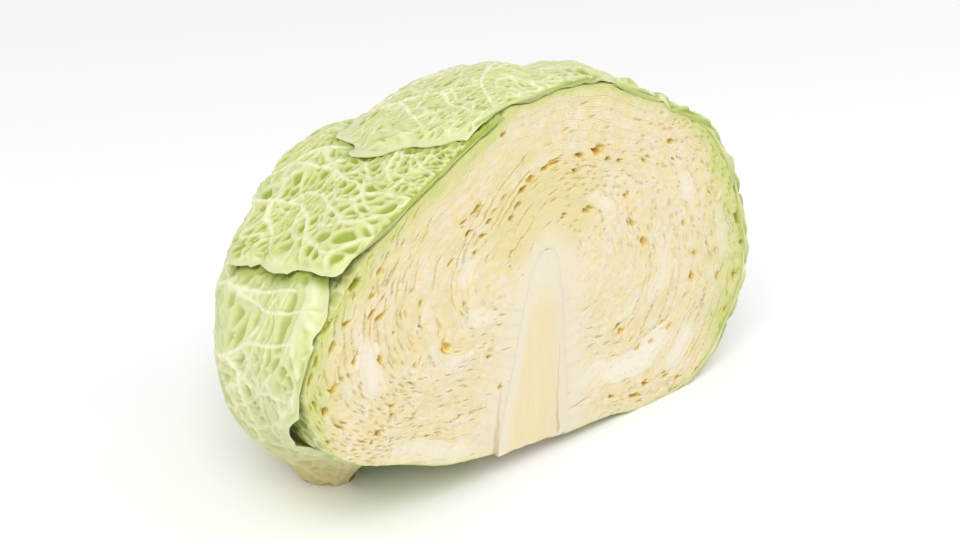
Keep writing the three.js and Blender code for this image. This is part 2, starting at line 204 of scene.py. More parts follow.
def noise(x, y, z, seed):
    """Smooth noise from -1 to 1, with features about one unit apart."""
    x, y, z = np.broadcast_arrays(np.asarray(x, float), np.asarray(y, float), np.asarray(z, float))
    fx, fy, fz = np.floor(x), np.floor(y), np.floor(z)
    tx, ty, tz = (smoothstep(0, 1, t) for t in (x - fx, y - fy, z - fz))
    ix, iy, iz = (f.astype(np.int64) for f in (fx, fy, fz))
    total = np.zeros(x.shape)
    for dx in (0, 1):
        for dy in (0, 1):
            for dz in (0, 1):
                weight = (tx if dx else 1 - tx) * (ty if dy else 1 - ty) * (tz if dz else 1 - tz)
                total += weight * lattice(ix + dx, iy + dy, iz + dz, seed)
    return 2 * total - 1


def flat_noise(x, y, step, seed):
    """Noise over a plane, with features about step mm apart."""
    return noise(x / step, y / step, 0.5, seed)


def first_draws(seed, count):
    """The CAD source's own random stream, so that both give a leaf the same outline."""
    draws, state = [], seed
    for _ in range(count):
        state = (state + 0x6D2B79F5) & 0xFFFFFFFF
        mixed = ((state ^ (state >> 15)) * (1 | state)) & 0xFFFFFFFF
        mixed ^= (mixed + (mixed ^ (mixed >> 7)) * (61 | mixed)) & 0xFFFFFFFF
        draws.append(((mixed ^ (mixed >> 14)) & 0xFFFFFFFF) / 4294967296.0)
    return draws


def cells(x, y, seed, jitter=0.85):
    """Distances to the nearest and second nearest of scattered points, and a random number for each cell."""
    fx, fy = np.floor(x), np.floor(y)
    first = np.full(x.shape, 9.0)
    second = np.full(x.shape, 9.0)
    owner = np.zeros(x.shape)
    for dx in (-2, -1, 0, 1, 2):
        for dy in (-2, -1, 0, 1, 2):
            cx, cy = (fx + dx).astype(np.int64), (fy + dy).astype(np.int64)
            px = cx + 0.5 + jitter * (lattice(cx, cy, 0, seed) - 0.5)
            py = cy + 0.5 + jitter * (lattice(cx, cy, 1, seed) - 0.5)
            apart = np.hypot(x - px, y - py)
            nearer = apart < first
            second = np.where(nearer, first, np.minimum(second, apart))
            owner = np.where(nearer, lattice(cx, cy, 2, seed), owner)
            first = np.where(nearer, apart, first)
    return first, second, owner


def line_distance(x, y, points):
    """Distance to a line through some points, and how far along it the nearest place is, from 0 to 1."""
    nearest, share = np.full(np.shape(x), 1e9), np.zeros(np.shape(x))
    pieces = len(points) - 1
    for number, ((ax, ay), (bx, by)) in enumerate(zip(points, points[1:])):
        length = (bx - ax) ** 2 + (by - ay) ** 2
        t = np.clip(((x - ax) * (bx - ax) + (y - ay) * (by - ay)) / length, 0, 1)
        apart = np.hypot(x - ax - t * (bx - ax), y - ay - t * (by - ay))
        share = np.where(apart < nearest, (number + t) / pieces, share)
        nearest = np.minimum(nearest, apart)
    return nearest, share


# ---------------------------------------------------------------- the head's surface
def rim_reach(angle):
    place = (np.asarray(angle) / (2 * np.pi) * len(RIM_SHAPE)) % len(RIM_SHAPE)
    first = np.floor(place).astype(int)
    t = place - first
    a, b, c, d = (RIM_SHAPE[(first + k) % len(RIM_SHAPE)] for k in (-1, 0, 1, 2))
    bend = (2 * a - 5 * b + 4 * c - d) * t**2 + (3 * b - a - 3 * c + d) * t**3
    return HEAD_REACH * (b + 0.5 * ((c - a) * t + bend))


def swelling(d, spot):
    towards = direction(spot["azimuth"], spot["elevation"])
    apart = np.degrees(np.arccos(np.clip(d @ towards, -1, 1)))
    return np.exp(-0.5 * (apart / spot["spread"]) ** 2)


def risen(spots, d):
    """What several swellings add up to, in mm."""
    return sum((spot["rise"] * swelling(d, spot) for spot in spots), np.zeros(d.shape[:-1]))


def head_reach(d):
    across = np.hypot(d[..., 0], d[..., 2])
    rim = across / rim_reach(np.arctan2(d[..., 2], d[..., 0]))
    back = np.abs(d[..., 1]) / HEAD_DEPTH
    return (rim**ROUNDNESS + back**ROUNDNESS) ** (-1 / ROUNDNESS) + risen(SWELLINGS, d)


def head_point(d, height):
    """The point in direction d at a given height above the inner head."""
    depth = INNER_DEPTH + (BARE_DEPTH - INNER_DEPTH) * smoothstep(0.3, 0.7, -d[..., 2])
    return MIDDLE + d * (head_reach(d) - depth + height)[..., None]


def nested(size, d):
    """The point of the nested surface of a given size, in direction d."""
    return GROWING_POINT + (head_point(d, 0) - GROWING_POINT) * np.asarray(size)[..., None]


def cut_direction(angle, tilt=0.0):
    """Direction at an angle round the cut face, tilted towards the back by tilt degrees."""
    flat, back = math.cos(math.radians(tilt)), math.sin(math.radians(tilt))
    return np.stack([flat * np.cos(angle), np.full(angle.shape, back), flat * np.sin(angle)], -1)


# Even angles round the middle, the rim's points at them, and the length along the rim up to each
RIM_COLUMNS = 2880  # steps round the rim of the cut, to measure it by
RIM_STEPS = np.linspace(0, 2 * np.pi, RIM_COLUMNS + 1)
RIM_POINTS = nested(np.ones(len(RIM_STEPS)), cut_direction(RIM_STEPS))
RIM_LENGTH = np.concatenate([[0], np.cumsum(np.linalg.norm(np.diff(RIM_POINTS, axis=0), axis=1))])


def rim_angles(count):
    """Angles of columns at even steps along the rim."""
    return np.interp(np.arange(count) / count * RIM_LENGTH[-1], RIM_LENGTH, RIM_STEPS)


def layer_place(x, z):
    """Size of the nested surface through a point of the cut face, and the rim's reach and length there."""
    towards = RIM_POINTS[:-1] - GROWING_POINT
    angles = np.arctan2(towards[:, 2], towards[:, 0])
    order = np.argsort(angles)
    reach = np.hypot(towards[:, 0], towards[:, 2])[order]
    there = np.arctan2(z - GROWING_POINT[2], x - GROWING_POINT[0])
    limit = np.interp(there, angles[order], reach, period=2 * np.pi)
    length = np.interp(there, angles[order], RIM_LENGTH[:-1][order], period=2 * np.pi)
    return np.hypot(x - GROWING_POINT[0], z - GROWING_POINT[2]) / limit, limit, length


def size_at(x, z):
    """Size of the nested surface through a point of the cut face."""
    return layer_place(x, z)[0]


def stem_radius(height):
    heights, radii = zip(*STEM_PROFILE)
    return np.interp(height, heights, radii)


def stem_middle(z):
    return STEM_BASE[0] + (z - STEM_BASE[2]) * math.tan(STEM_LEAN)


STEM_TOP = STEM_BASE[2] + STEM_PROFILE[-1][0] * math.cos(STEM_LEAN)


def stem_half_width(z):
    return stem_radius((z - STEM_BASE[2]) / math.cos(STEM_LEAN))


def beside_stem(x, z):
    """Distance outside the stem in the cut face, negative inside it."""
    beside = np.abs(x - stem_middle(z)) - stem_half_width(z)
    above = np.hypot(x - stem_middle(STEM_TOP), z - STEM_TOP)
    return np.where(z > STEM_TOP, above, beside)


# ---------------------------------------------------------------- where the outer leaves lie
def leaf_frame(leaf):
    middle = direction(*leaf["middle"])
    along = direction(*leaf["tip"])
    along = unit(along - middle * (along @ middle))
    return middle, along, np.cross(along, middle)


def leaf_direction(leaf, across, along):
    middle, towards, aside = leaf_frame(leaf)
    sideways, forwards = across / BEND_REACH, along / BEND_REACH
    return (
        (np.cos(sideways) * np.cos(forwards))[..., None] * middle
        + (np.cos(sideways) * np.sin(forwards))[..., None] * towards
        + np.sin(sideways)[..., None] * aside
    )


def width_share(v):
    return NARROW_BASE + (1 - NARROW_BASE) * smoothstep(-1, 0.15, v)


def leaf_place(leaf, d):
    """Where a direction falls on a leaf, in mm across and along it."""
    middle, towards, aside = leaf_frame(leaf)
    return BEND_REACH * np.arcsin(np.clip(d @ aside, -1, 1)), BEND_REACH * np.arctan2(d @ towards, d @ middle)


def leaf_noise(leaf, across, along, step, seed):
    """Noise over a leaf, with features about step mm apart."""
    return noise(across / step, along / step, leaf["seed"], seed)


def lumps(leaf, across, along):
    """How far a leaf bulges in and out between its veins, in mm."""
    return LUMPS.get(leaf["name"], 0.4) * leaf_noise(leaf, across, along, 4.6, 93)


def outline_share(leaf, turn):
    """How far a leaf's lobed outline lies out, as a share of its plain ellipse."""
    phases = [2 * math.pi * draw for draw in first_draws(leaf["seed"], 2)]
    return 0.045 * np.sin(7 * turn + phases[0]) + 0.03 * np.sin(13 * turn + phases[1])


def outside_leaf(leaf, d, lobed=False):
    """About how far a direction lies outside a leaf's plain or lobed outline, in mm, negative inside it."""
    across, along = leaf_place(leaf, d)
    v = along / leaf["half"][0]
    u = across / (leaf["half"][1] * width_share(v))
    beyond = np.hypot(u, v) - 1
    if lobed:
        beyond = beyond - outline_share(leaf, np.arctan2(v, u))
    return beyond * min(leaf["half"])


def sling_rise(leaf, d):
    """How far a leaf is slung out from the pile, in mm."""
    return risen([spot for spot in SLINGS if spot["leaf"] == leaf["name"]], d)


def support(leaf, d):
    """1 where a leaf carries what lies on it, 0 well outside its outline."""
    return 1 - smoothstep(PILE_INSIDE, PILE_INSIDE + PILE_FADE, outside_leaf(leaf, d))


def pile_height(leaf, index, d):
    """How high the leaves under this one lift it, in mm."""
    across = leaf_place(leaf, d)[0]
    sunk = SETTLED.get(leaf["name"], 0.0) * smoothstep(-0.35, -0.62, across / leaf["half"][1])
    below = np.zeros(d.shape[:-1])
    for other in OUTER_LEAVES[:index]:
        below = below + support(other, d)
    return LEAF_SLAB * (1 - sunk) * below


# ---------------------------------------------------------------- meshes
def placed(name, data):
    """A new object in the scene."""
    made = bpy.data.objects.new(name, data)
    bpy.context.scene.collection.objects.link(made)
    return made


def make_piece(node, vertices, faces, attributes, material):
    """The piece that stands for a CAD node, from points in mm, riding on the part's one body."""
    name = node + "_look"
    mesh = bpy.data.meshes.new(name)
    mesh.from_pydata((vertices * MM + SHIFT).tolist(), [], faces)
    mesh.validate()
    for key, values in attributes.items():
        layer = mesh.attributes.new(key, "FLOAT", "POINT")
        layer.data.foreach_set("value", np.asarray(values, np.float32))
    mesh.polygons.foreach_set("use_smooth", np.ones(len(mesh.polygons), bool))
    mesh.set_sharp_from_angle(angle=SHARP_ANGLE)
    mesh.materials.append(material)
    piece = placed(name, mesh)
    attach(piece, "root")
    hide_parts(node)
    return piece


def ring_quads(first, second, count):
    """Quads between two rings of vertices that start at the given numbers."""
    k = np.arange(count)
    n = (k + 1) % count
    return np.stack([first + k, second + k, second + n, first + n], -1).tolist()


def stitch(fine, coarse, ratio):
    """Triangles from a fine ring of vertices to a coarse ring with ratio times fewer."""
    faces = []
    half = ratio // 2 + 1
    for k, here in enumerate(coarse):
        following = coarse[(k + 1) % len(coarse)]
        row = [fine[(k * ratio + j) % len(fine)] for j in range(ratio + 1)]
        faces += [(row[j + 1], row[j], here if j < half else following) for j in range(ratio)]
        faces.append((row[half], here, following))
    return faces


def fan(tip, ring, count, turned=False):
    """Triangles from one vertex to a ring of vertices that starts at a given number."""
    faces = [(tip, ring + (k + 1) % count, ring + k) for k in range(count)]
    return [face[::-1] for face in faces] if turned else faces


# ---------------------------------------------------------------- the cut face: leaf layers, holes and ribs
PIT_STEP = 2.5  # mm between places where a small pit may lie
PIT_STRETCH = 1.35
PIT_DEPTH = 0.55
HOLE_DEPTH = 1.35
FRONT_Y = 0.36  # mm that the uncurled flesh of the cut face lies behind the cut
STEM_LAP = 1.6  # mm that the layers reach in behind the stem's edge
LAYERS = 46
PITCH = (1 - CUP_INNERMOST) / LAYERS
HEART_LAYERS = 10
COLUMN_STEP = 0.5  # mm between columns along a cut edge
RING_RATIO = 5
# mm left open under a leaf that lies on the rim; less than nothing reaches into the leaf
SLIT = {"leaf_right": -0.8, "leaf_top": 0.1, "leaf_upper_left": 2.0, "leaf_lower_left": 1.0}

# Holes in the cut face: x, z, half height, half length along the layers, in mm
HOLES = [
    (-69, 18, 1.4, 2.4), (-59, 19, 0.8, 1.5), (-63, 8, 0.9, 1.5), (-60, 6, 0.9, 1.3), (-55, 0, 0.4, 1.5),
    (-33, 14, 0.6, 1.6), (-35, -10, 1.0, 3.6), (-77, 3, 1.0, 2.0), (-79, 9, 0.8, 2.0), (-83, 1, 0.9, 1.8),
    (-85, -3, 0.9, 1.8), (-77, -9, 0.8, 2.0), (-80, -14, 1.1, 1.4), (-61, -27, 1.1, 1.5),
    (-56, -21, 0.5, 0.9), (-56, -23.5, 0.5, 0.9), (-47, -12, 0.5, 1.2), (-48, -26, 0.5, 1.0),
    (-64, -29, 0.5, 0.9), (-57, -31, 0.6, 0.9), (-18, -19, 0.5, 1.1), (-72, 8, 0.7, 1.4),
    (-60, -6, 0.5, 2.4), (-45, 5, 0.6, 1.4), (-28, 0, 0.5, 1.1), (-63, 13, 0.6, 1.2), (-59, 11, 0.6, 1.2),
    (-73, 24, 0.9, 1.7), (-13, -30, 0.5, 0.9), (-30, -33, 0.4, 0.9), (-48, 10, 0.4, 1.0),
    (28, 31, 1.5, 2.7), (20, 31, 0.6, 2.2), (5, 31, 0.7, 2.2), (9, 31.5, 0.5, 3.0), (18, 27, 0.6, 1.4),
    (-4, 27, 0.8, 2.0), (-1, 29, 0.8, 2.0), (-6, 23, 0.7, 2.0), (-9, 20, 0.7, 1.2), (-23, 26, 0.9, 2.4),
    (-26, 20, 0.7, 1.7), (-20, 18, 0.7, 1.2), (-18, 21.5, 0.7, 1.4), (-23, 14, 0.5, 1.1),
    (-16, 24, 0.5, 1.6), (-12, 27, 0.5, 1.8), (-28, 24, 0.5, 1.5), (14, 15, 0.35, 1.3), (25, 14, 0.7, 1.9),
    (33, 27, 0.6, 1.5), (38, 25, 0.5, 1.3), (-24, 50, 0.6, 1.2), (-12, 45, 0.5, 1.3), (41, 13.5, 0.8, 1.3),
    (45, 4, 0.6, 1.2), (51, -4, 1.1, 1.9), (77, -15, 0.7, 1.1), (75, -22, 1.0, 1.6), (62, 25, 0.6, 1.5),
    (50, 22, 0.5, 1.3), (64, 19, 0.4, 1.2), (98, -9, 1.0, 2.6), (98, -29, 1.1, 2.0), (89, -26, 0.6, 1.4),
    (42, -30, 1.3, 2.2), (56, -38, 0.7, 1.6), (49, -38, 0.6, 1.8), (65, -36, 0.8, 1.8), (37, -50, 0.9, 1.4),
    (49, -54, 0.7, 3.4), (53, -51, 0.6, 1.8), (63, -51, 1.0, 1.8), (70, -55, 0.8, 1.6), (94, -39, 0.6, 1.6),
    (101, -18, 0.8, 1.4), (70, -3, 0.4, 1.3),
]
# Thick pale leaf ribs: x, z of the middle, full thickness, half length along the layers, in mm
RIBS = [
    (48, -44, 8.0, 26), (28, -39.5, 4.0, 12), (70, -44.2, 4.5, 13), (-42, -42, 4.0, 24), (-64.5, -8, 4.2, 12),
    (-28, -15, 3.2, 7), (-26, 9, 2.4, 6), (29, 14, 2.8, 9), (60, -16, 2.0, 10), (90, -12, 1.6, 14),
    (70, 8, 1.6, 9), (-20, -6, 2.4, 7),
]
HEART_COLUMNS = 420
HEART_SIZE = 0.2  # what the heart's colours take as its share of the cut's size
COVER_BLUR = 44  # steps of the rim over which the cover changes
TUCK_OUT = 0.45  # mm that a cup's first cut edge reaches in under the cup outside it
TUCK_BACK = 0.12  # mm that it lies behind there
# Degrees from the cut face of the rows of a cup's skin: as finely set as the cut edges, then further apart
NEAR_TILTS = [6, 12]
FAR_TILTS = [22, 38, 58]
OUTERMOST_NEAR_TILTS = [2.5, 6, 10]
OUTERMOST_FAR_TILTS = list(np.arange(13, 80, 3.5))
HEART_TILTS = [12, 30, 55]
SKIN_PIT_STEP = 6.0  # mm between pits of the outermost cup's skin
SKIN_REACH = 80.0  # mm of skin for each radian towards the back


def crumple_at(x, z):
    """How crumpled the leaves are: most at the left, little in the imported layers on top, none at the stem."""
    left = 0.4 + 0.6 * smoothstep(-25, -60, x) + 0.6 * smoothstep(62, 92, x)
    packed = 1 - 0.75 * smoothstep(18, 36, z + 0.12 * np.abs(x - 10))
    around_heart = np.exp(-0.5 * ((np.hypot((x - 2) / 30, (z - 22) / 13) - 0.9) / 0.25) ** 2)
    right_rim = 0.7 * smoothstep(0.82, 0.95, size_at(x, z)) * smoothstep(40, 70, x)
    most = np.maximum.reduce([left * packed, 0.9 * around_heart, right_rim])
    return most * smoothstep(2, 22, beside_stem(x, z))


def lines_at(x, z):
    """How clearly the layers show as fine parallel lines: well at the top and outside, hardly low down."""
    rim = smoothstep(0.62, 0.95, size_at(x, z))
    return np.clip(smoothstep(8, 34, z) + 0.55 * rim, 0.03, 1) * smoothstep(-4, 24, beside_stem(x, z))


def pit_share(x, z):
    """Share of places that hold a small pit: many at the left and in an arc over the heart, few elsewhere."""
    left = smoothstep(-34, -60, x) * smoothstep(-50, -30, z) * smoothstep(44, 26, z)
    arc = np.exp(-0.5 * ((np.hypot((x - 3) / 29, (z - 10) / 20) - 1.0) / 0.2) ** 2) * smoothstep(4, 16, z)
    right = 0.34 * smoothstep(22, 50, x) + 0.4 * smoothstep(0.84, 0.94, size_at(x, z)) * smoothstep(45, 70, x)
    share = np.maximum.reduce([0.8 * left, 0.85 * arc, right, np.full(np.shape(x), 0.22)])
    return share * smoothstep(4, 16, beside_stem(x, z)) * (1 - 0.8 * smoothstep(26, 40, z))


def small_pits(x, z, along, inwards):
    """How deep the small pits between crumpled leaves lie, from 0 to 1, drawn out along the layers."""
    nearest, _, owner = cells(along / (PIT_STRETCH * PIT_STEP), inwards / PIT_STEP, 46)
    share = np.maximum(pit_share(x, z), 0.01)
    ragged = 1 + 0.45 * flat_noise(x, z, 1.1, 47)
    radius = 0.5 * np.clip((owner - 1 + share) / share, 0, 1) ** 0.55 * ragged
    return 1 - smoothstep(0.3, 1.05, nearest / np.maximum(radius, 0.02))


def holes_at(x, z, length, size, reach):
    """How deep the larger holes lie, and how much warmer the flesh round them is coloured, from 0 to 1."""
    deepest, warm_ring = np.zeros(np.shape(x)), np.zeros(np.shape(x))
    for hx, hz, high, half in HOLES:
        hole_size, _, hole_length = layer_place(hx, hz)
        along = (length - hole_length + RIM_LENGTH[-1] / 2) % RIM_LENGTH[-1] - RIM_LENGTH[-1] / 2
        near = np.hypot(along * size / (0.85 * half), (size - hole_size) * reach / (1.15 * high))
        near = near + 0.5 * noise(x / 1.5, z / 1.5, hx, 48)
        deepest = np.maximum(deepest, 1 - smoothstep(0.45, 1.15, near))
        warm_ring = np.maximum(warm_ring, 1 - smoothstep(0.8, 2.6, near))
    return deepest, warm_ring


def rim_cover(angle):
    """How far the cut layers reach past the inner head, up to the leaf over the rim there, in mm."""
    d = cut_direction(angle)
    covers = []
    for index, leaf in enumerate(OUTER_LEAVES):
        if leaf["name"] in SLIT:
            height = LEAF_BED - SLIT[leaf["name"]]
            height = height + pile_height(leaf, index, d)
            height = height + sling_rise(leaf, d)
            height = height + lumps(leaf, *leaf_place(leaf, d))
            covers.append(np.where(outside_leaf(leaf, d) < 0, np.maximum(height, 0), np.inf))
    lowest = np.min(covers, axis=0)
    lowest = np.where(np.isfinite(lowest), lowest, 0)
    kernel = np.hanning(2 * COVER_BLUR + 1)
    wrapped = np.concatenate([lowest[-COVER_BLUR:], lowest, lowest[:COVER_BLUR]])
    return np.convolve(wrapped, kernel / kernel.sum(), mode="valid")


RIM_COVER = rim_cover(RIM_STEPS[:-1])


def cover_at(angle):
    return np.interp(angle, RIM_STEPS[:-1], RIM_COVER, period=2 * np.pi)


def rays(angle):
    """Lines from the growing point to the inner head's rim, and their lengths."""
    towards = nested(np.ones(angle.shape), cut_direction(angle)) - GROWING_POINT
    return towards, np.linalg.norm(towards, axis=1)


def on_rays(towards, size):
    """x and z of the points of the cut face that lie at a share of those lines."""
    return GROWING_POINT[0] + towards[..., 0] * size, GROWING_POINT[2] + towards[..., 2] * size


def layer_sizes(angle):
    """Where each layer begins and ends in each column, the gap behind it in mm, and how ribbed it is."""
    towards, reach = rays(angle)
    number = np.arange(LAYERS + HEART_LAYERS)
    size = np.where(number < LAYERS, 1 - (number + 0.5) * PITCH,
                    CUP_INNERMOST * (1 - (number - LAYERS + 0.5) / (HEART_LAYERS + 0.7)))
    x, z = on_rays(towards[:, None], size)
    pitch = PITCH * reach[:, None]
    crumple = crumple_at(x, z)
    blade = 0.8 + 0.3 * noise(x / 9, z / 9, number * 0.7, 21)
    loose = noise(x / 3.4, z / 3.4, number * 0.55, 22) + 0.4 * noise(x / 1.7, z / 1.7, number * 0.9, 23)
    line = lines_at(x, z) * (0.5 + 0.5 * noise(x / 6, z / 6, number * 0.9, 24))
    gap = 0.015 + 0.03 * line + 0.9 * crumple * np.clip(loose - 0.42, 0, 1) ** 1.5
    rib = np.zeros(x.shape)
    for rx, rz, thick, half in RIBS:
        layer = int(np.argmin(np.abs(size - size_at(rx, rz))))
        along = np.hypot(x[:, layer] - rx, z[:, layer] - rz)
        share = 1 - smoothstep(0.35 * half, half, along)
        white = 0.7 + 0.5 * smoothstep(3, 7, thick)
        for near, weight in ((-1, 0.3), (0, 1.0), (1, 0.3)):
            if 0 <= layer + near < len(number):
                blade[:, layer + near] += weight / 1.6 * thick / pitch[:, 0] * share
                beside = share * (1.0 if near == 0 else 0.75)
                rib[:, layer + near] = np.maximum(rib[:, layer + near], white * beside)
    gap *= 1 - 0.9 * np.minimum(rib, 1)
    for hx, hz, high, half in HOLES:
        layer = int(np.argmin(np.abs(size - size_at(hx, hz))))
        along = np.hypot(x[:, layer] - hx, z[:, layer] - hz)
        ragged = 1 + 0.35 * noise(x[:, layer] / 0.9, z[:, layer] / 0.9, 0.5, 25)
        gap[:, layer] += 0.8 * high / pitch[:, 0] * np.exp(-((along / (0.8 * half)) ** 2)) * ragged
    outer, inner = np.zeros(x.shape), np.zeros(x.shape)
    first = 1 + cover_at(angle) / reach
    zones = (
        (0, LAYERS, first, first - CUP_INNERMOST),
        (LAYERS, len(number), CUP_INNERMOST, 0.93 * CUP_INNERMOST),
    )
    for low, high, start, span in zones:
        widths = np.stack([blade[:, low:high], gap[:, low:high]], -1).reshape(len(angle), -1)
        share = np.cumsum(widths, axis=1) / widths.sum(1, keepdims=True)
        ends = np.reshape(start, (-1, 1)) - share * np.reshape(span, (-1, 1))
        inner[:, low:high] = ends[:, 0::2]
        outer[:, low] = start
        outer[:, low + 1:high] = ends[:, 1:-1:2]
    behind = np.concatenate([outer[:, 1:], np.full((len(angle), 1), 0.02)], 1)
    return outer, inner, (inner - behind) * reach[:, None], rib


def wave(x, z, reach):
    """How far the cut edges wave off their layers, as a size."""
    crumple = crumple_at(x, z)
    away = 1.1 * flat_noise(x, z, 5.5, 31) + 0.3 * flat_noise(x, z, 2.3, 32)
    slow = 1.6 * flat_noise(x, z, 16, 33)
    return (away * (0.15 + 0.85 * crumple) + slow * (0.3 + 0.7 * crumple)) / reach


def groove(line, fleshy, gap):
    """How far a layer's edge drops beside a gap, in mm, and how strongly it is tinted there: the yellow of the
    leaves deeper in, and painted shade in the groove.
    """
    drop = (0.015 + 0.06 * line) * fleshy + 2.0 * np.clip(gap - 0.1, 0, 2)
    return drop, np.clip(0.42 * line * fleshy + 1.15 * np.clip(gap - 0.1, 0, 3), 0, 1.5)


def cut_rows(angle, layers):
    """Rows of points across the cut edges of some layers, from the outside in, with what colours them."""
    outer, inner, gap, rib = layer_sizes(angle)
    towards, reach = rays(angle)
    cover = cover_at(angle)
    length = rim_length_at(angle)
    rows, colours = [], []
    for number in layers:
        a, b, width = outer[:, number], inner[:, number], gap[:, number]
        before = gap[:, number - 1] if number else np.full(a.shape, 1.5)
        x, z = on_rays(towards, (a + b) / 2)
        line = lines_at(x, z)
        plain = 1 - 0.85 * np.minimum(rib[:, number], 1)
        fleshy = smoothstep(2, 20, beside_stem(x, z)) * plain
        hollow, shade = groove(line, fleshy, width)
        hollow_before, shade_before = groove(line, fleshy, before)
        tone = 0.5 + 0.35 * noise(length / 5, number * 0.75, 0.5, 42)
        tone = tone + 0.2 * noise(length / 2.4, number * 0.9, 0.5, 44)
        # The outermost layer's cut edge starts in the skin's dark green: partly the skin's own green, partly a
        # painted shadow line beside the leaf over it.
        outermost = np.full(a.shape, float(number == 0))
        profile = [
            (a, hollow_before, shade_before, outermost),
            (a + (b - a) * 0.15, 0.25 * hollow_before, 0.12 * shade_before, 0.5 * outermost),
            (a + (b - a) * 0.5, 0, 0, 0),
            (a + (b - a) * 0.85, 0.25 * hollow, 0.12 * shade, 0),
            (b, hollow, shade, 0),
        ]
        for size, y, hollow_tint_and_shade, wall in profile:
            inwards = first_size(cover, reach) - size
            size = size + wave(*on_rays(towards, size), reach) * smoothstep(0, 0.06, inwards + 0.012)
            x, z = on_rays(towards, size)
            z = np.maximum(z, TABLE_Z)
            # holes_at also gives how much warmer the flesh round each hole is coloured.
            hole, hole_ring = holes_at(x, z, length, size, reach)
            pit = small_pits(x, z, length * size, size * reach) * plain
            grain = grain_at(x, z) * fleshy
            y = FRONT_Y + y + 0.28 * grain + HOLE_DEPTH * hole + PIT_DEPTH * pit + 0.2 * scar_at(x, z)
            inside = -beside_stem(x, z)
            radius = stem_half_width(z)
            round_back = np.sqrt(np.clip(radius**2 - (radius - inside) ** 2, 0, None)) + 0.5
            under = np.where(inside > STEM_LAP, round_back, 0.5 * smoothstep(-0.6, 0.3, inside))
            under = np.where(z > STEM_TOP, 0, under)
            rows.append(np.stack([x, np.maximum(y, under), z], -1))
            # Hollows, holes and small pits are tinted mustard, lime or orange: partly the yellow of the leaves
            # deeper in, partly painted shade.
            hollow_tint_and_shade = np.maximum.reduce([np.broadcast_to(hollow_tint_and_shade, x.shape), 1.35 * hole, 0.5 * pit])
            colours.append({
                "hollow": hollow_tint_and_shade * (1 - wall), "rib": rib[:, number], "size": size / first_size(cover, reach),
                # The lumps' hollows get the warmer, darker cream as painted shade, and their tops the paler
                # cream.
                "tone": tone + 0.25 * grain + 0.6 * hole_ring, "wall": wall,
            })
    return rows, colours


def first_size(cover, reach):
    """The size at which the cut layers start, past the inner head where a leaf lies over the rim."""
    return 1 + cover / reach


def grain_at(x, z):
    """Lumps of the crumpled flesh, from -2 to 2."""
    coarse = flat_noise(x, z, 2.9, 41)
    return coarse + 0.7 * flat_noise(x, z, 1.35, 43) + 0.3 * flat_noise(x, z, 0.8, 45)


def rim_length_at(angle):
    return np.interp(angle, RIM_STEPS, RIM_LENGTH)


def skin_rows(angle, front, tilts, relief):
    """Rows of points of a cup's side skin, from its cut edge towards the back."""
    rows = []
    base = np.minimum(front, 1).mean()
    for tilt in tilts:
        fade = math.exp(-tilt / 6)
        size = base + (front - base) * fade
        d = cut_direction(angle, tilt)
        points = nested(size, d)
        if relief is not None:
            points = points + d * relief(angle, tilt)[:, None]
        points[:, 2] = np.maximum(points[:, 2], TABLE_Z)
        rows.append(points)
    return rows


def tucked(points):
    """A row of points a little outside and behind another, so that no gap shows between two cups."""
    away = points[:, [0, 2]] - GROWING_POINT[[0, 2]]
    away = away / np.linalg.norm(away, axis=1)[:, None]
    moved = points.copy()
    moved[:, [0, 2]] += TUCK_OUT * away
    moved[:, 1] += TUCK_BACK
    moved[:, 2] = np.maximum(moved[:, 2], TABLE_Z)
    return moved


class Shell:
    """Rings of points, the faces between them and what colours them, for one piece of the cut head."""

    def __init__(self, size):
        self.plain = {"hollow": 0.0, "rib": 0.0, "size": size, "tone": 0.5, "wall": 0.0}
        self.colours = {key: [] for key in self.plain}
        self.rings, self.faces = [], []

    def add(self, points, **colour):
        """Adds some points, plain but for the colours given, and returns the first one's number."""
        start = sum(len(ring) for ring in self.rings)
        self.rings.append(points)
        for key, value in (self.plain | colour).items():
            self.colours[key].append(np.broadcast_to(value, len(points)))
        return start

    def cut(self, angle, layers, under_another):
        """Adds the cut edges of some layers, and returns the first numbers of the rows, and the rows."""
        rows, colours = cut_rows(angle, layers)
        if under_another:
            rows, colours = [tucked(rows[0])] + rows, colours[:1] + colours
        starts = [self.add(points, **colour) for points, colour in zip(rows, colours)]
        for first, second in zip(starts, starts[1:]):
            self.faces += ring_quads(first, second, len(angle))
        return starts, rows

    def skin(self, last, rows, facing_out, **colour):
        """Joins rows of a side skin to the ring that starts at a number, and returns the last row's start."""
        before = len(rows[0])
        for points in rows:
            start, count = self.add(points, **colour), len(points)
            if count < before:
                faces = stitch(range(last, last + before), range(start, start + count), before // count)
                self.faces += faces if facing_out else [face[::-1] for face in faces]
            else:
                self.faces += ring_quads(*((start, last) if facing_out else (last, start)), count)
            last, before = start, count
        return last

    def pole(self, last, count, size, facing_out):
        """Closes a skin at the back."""
        tip = self.add(nested(np.array([size]), np.array([[0.0, 1.0, 0.0]])))
        self.faces += fan(tip, last, count, not facing_out)

    def piece(self, node, material, slot):
        points = np.concatenate(self.rings)
        colours = {key: np.concatenate(values) for key, values in self.colours.items()}
        return make_piece(node, points, self.faces, finish_colours(points, colours), material)


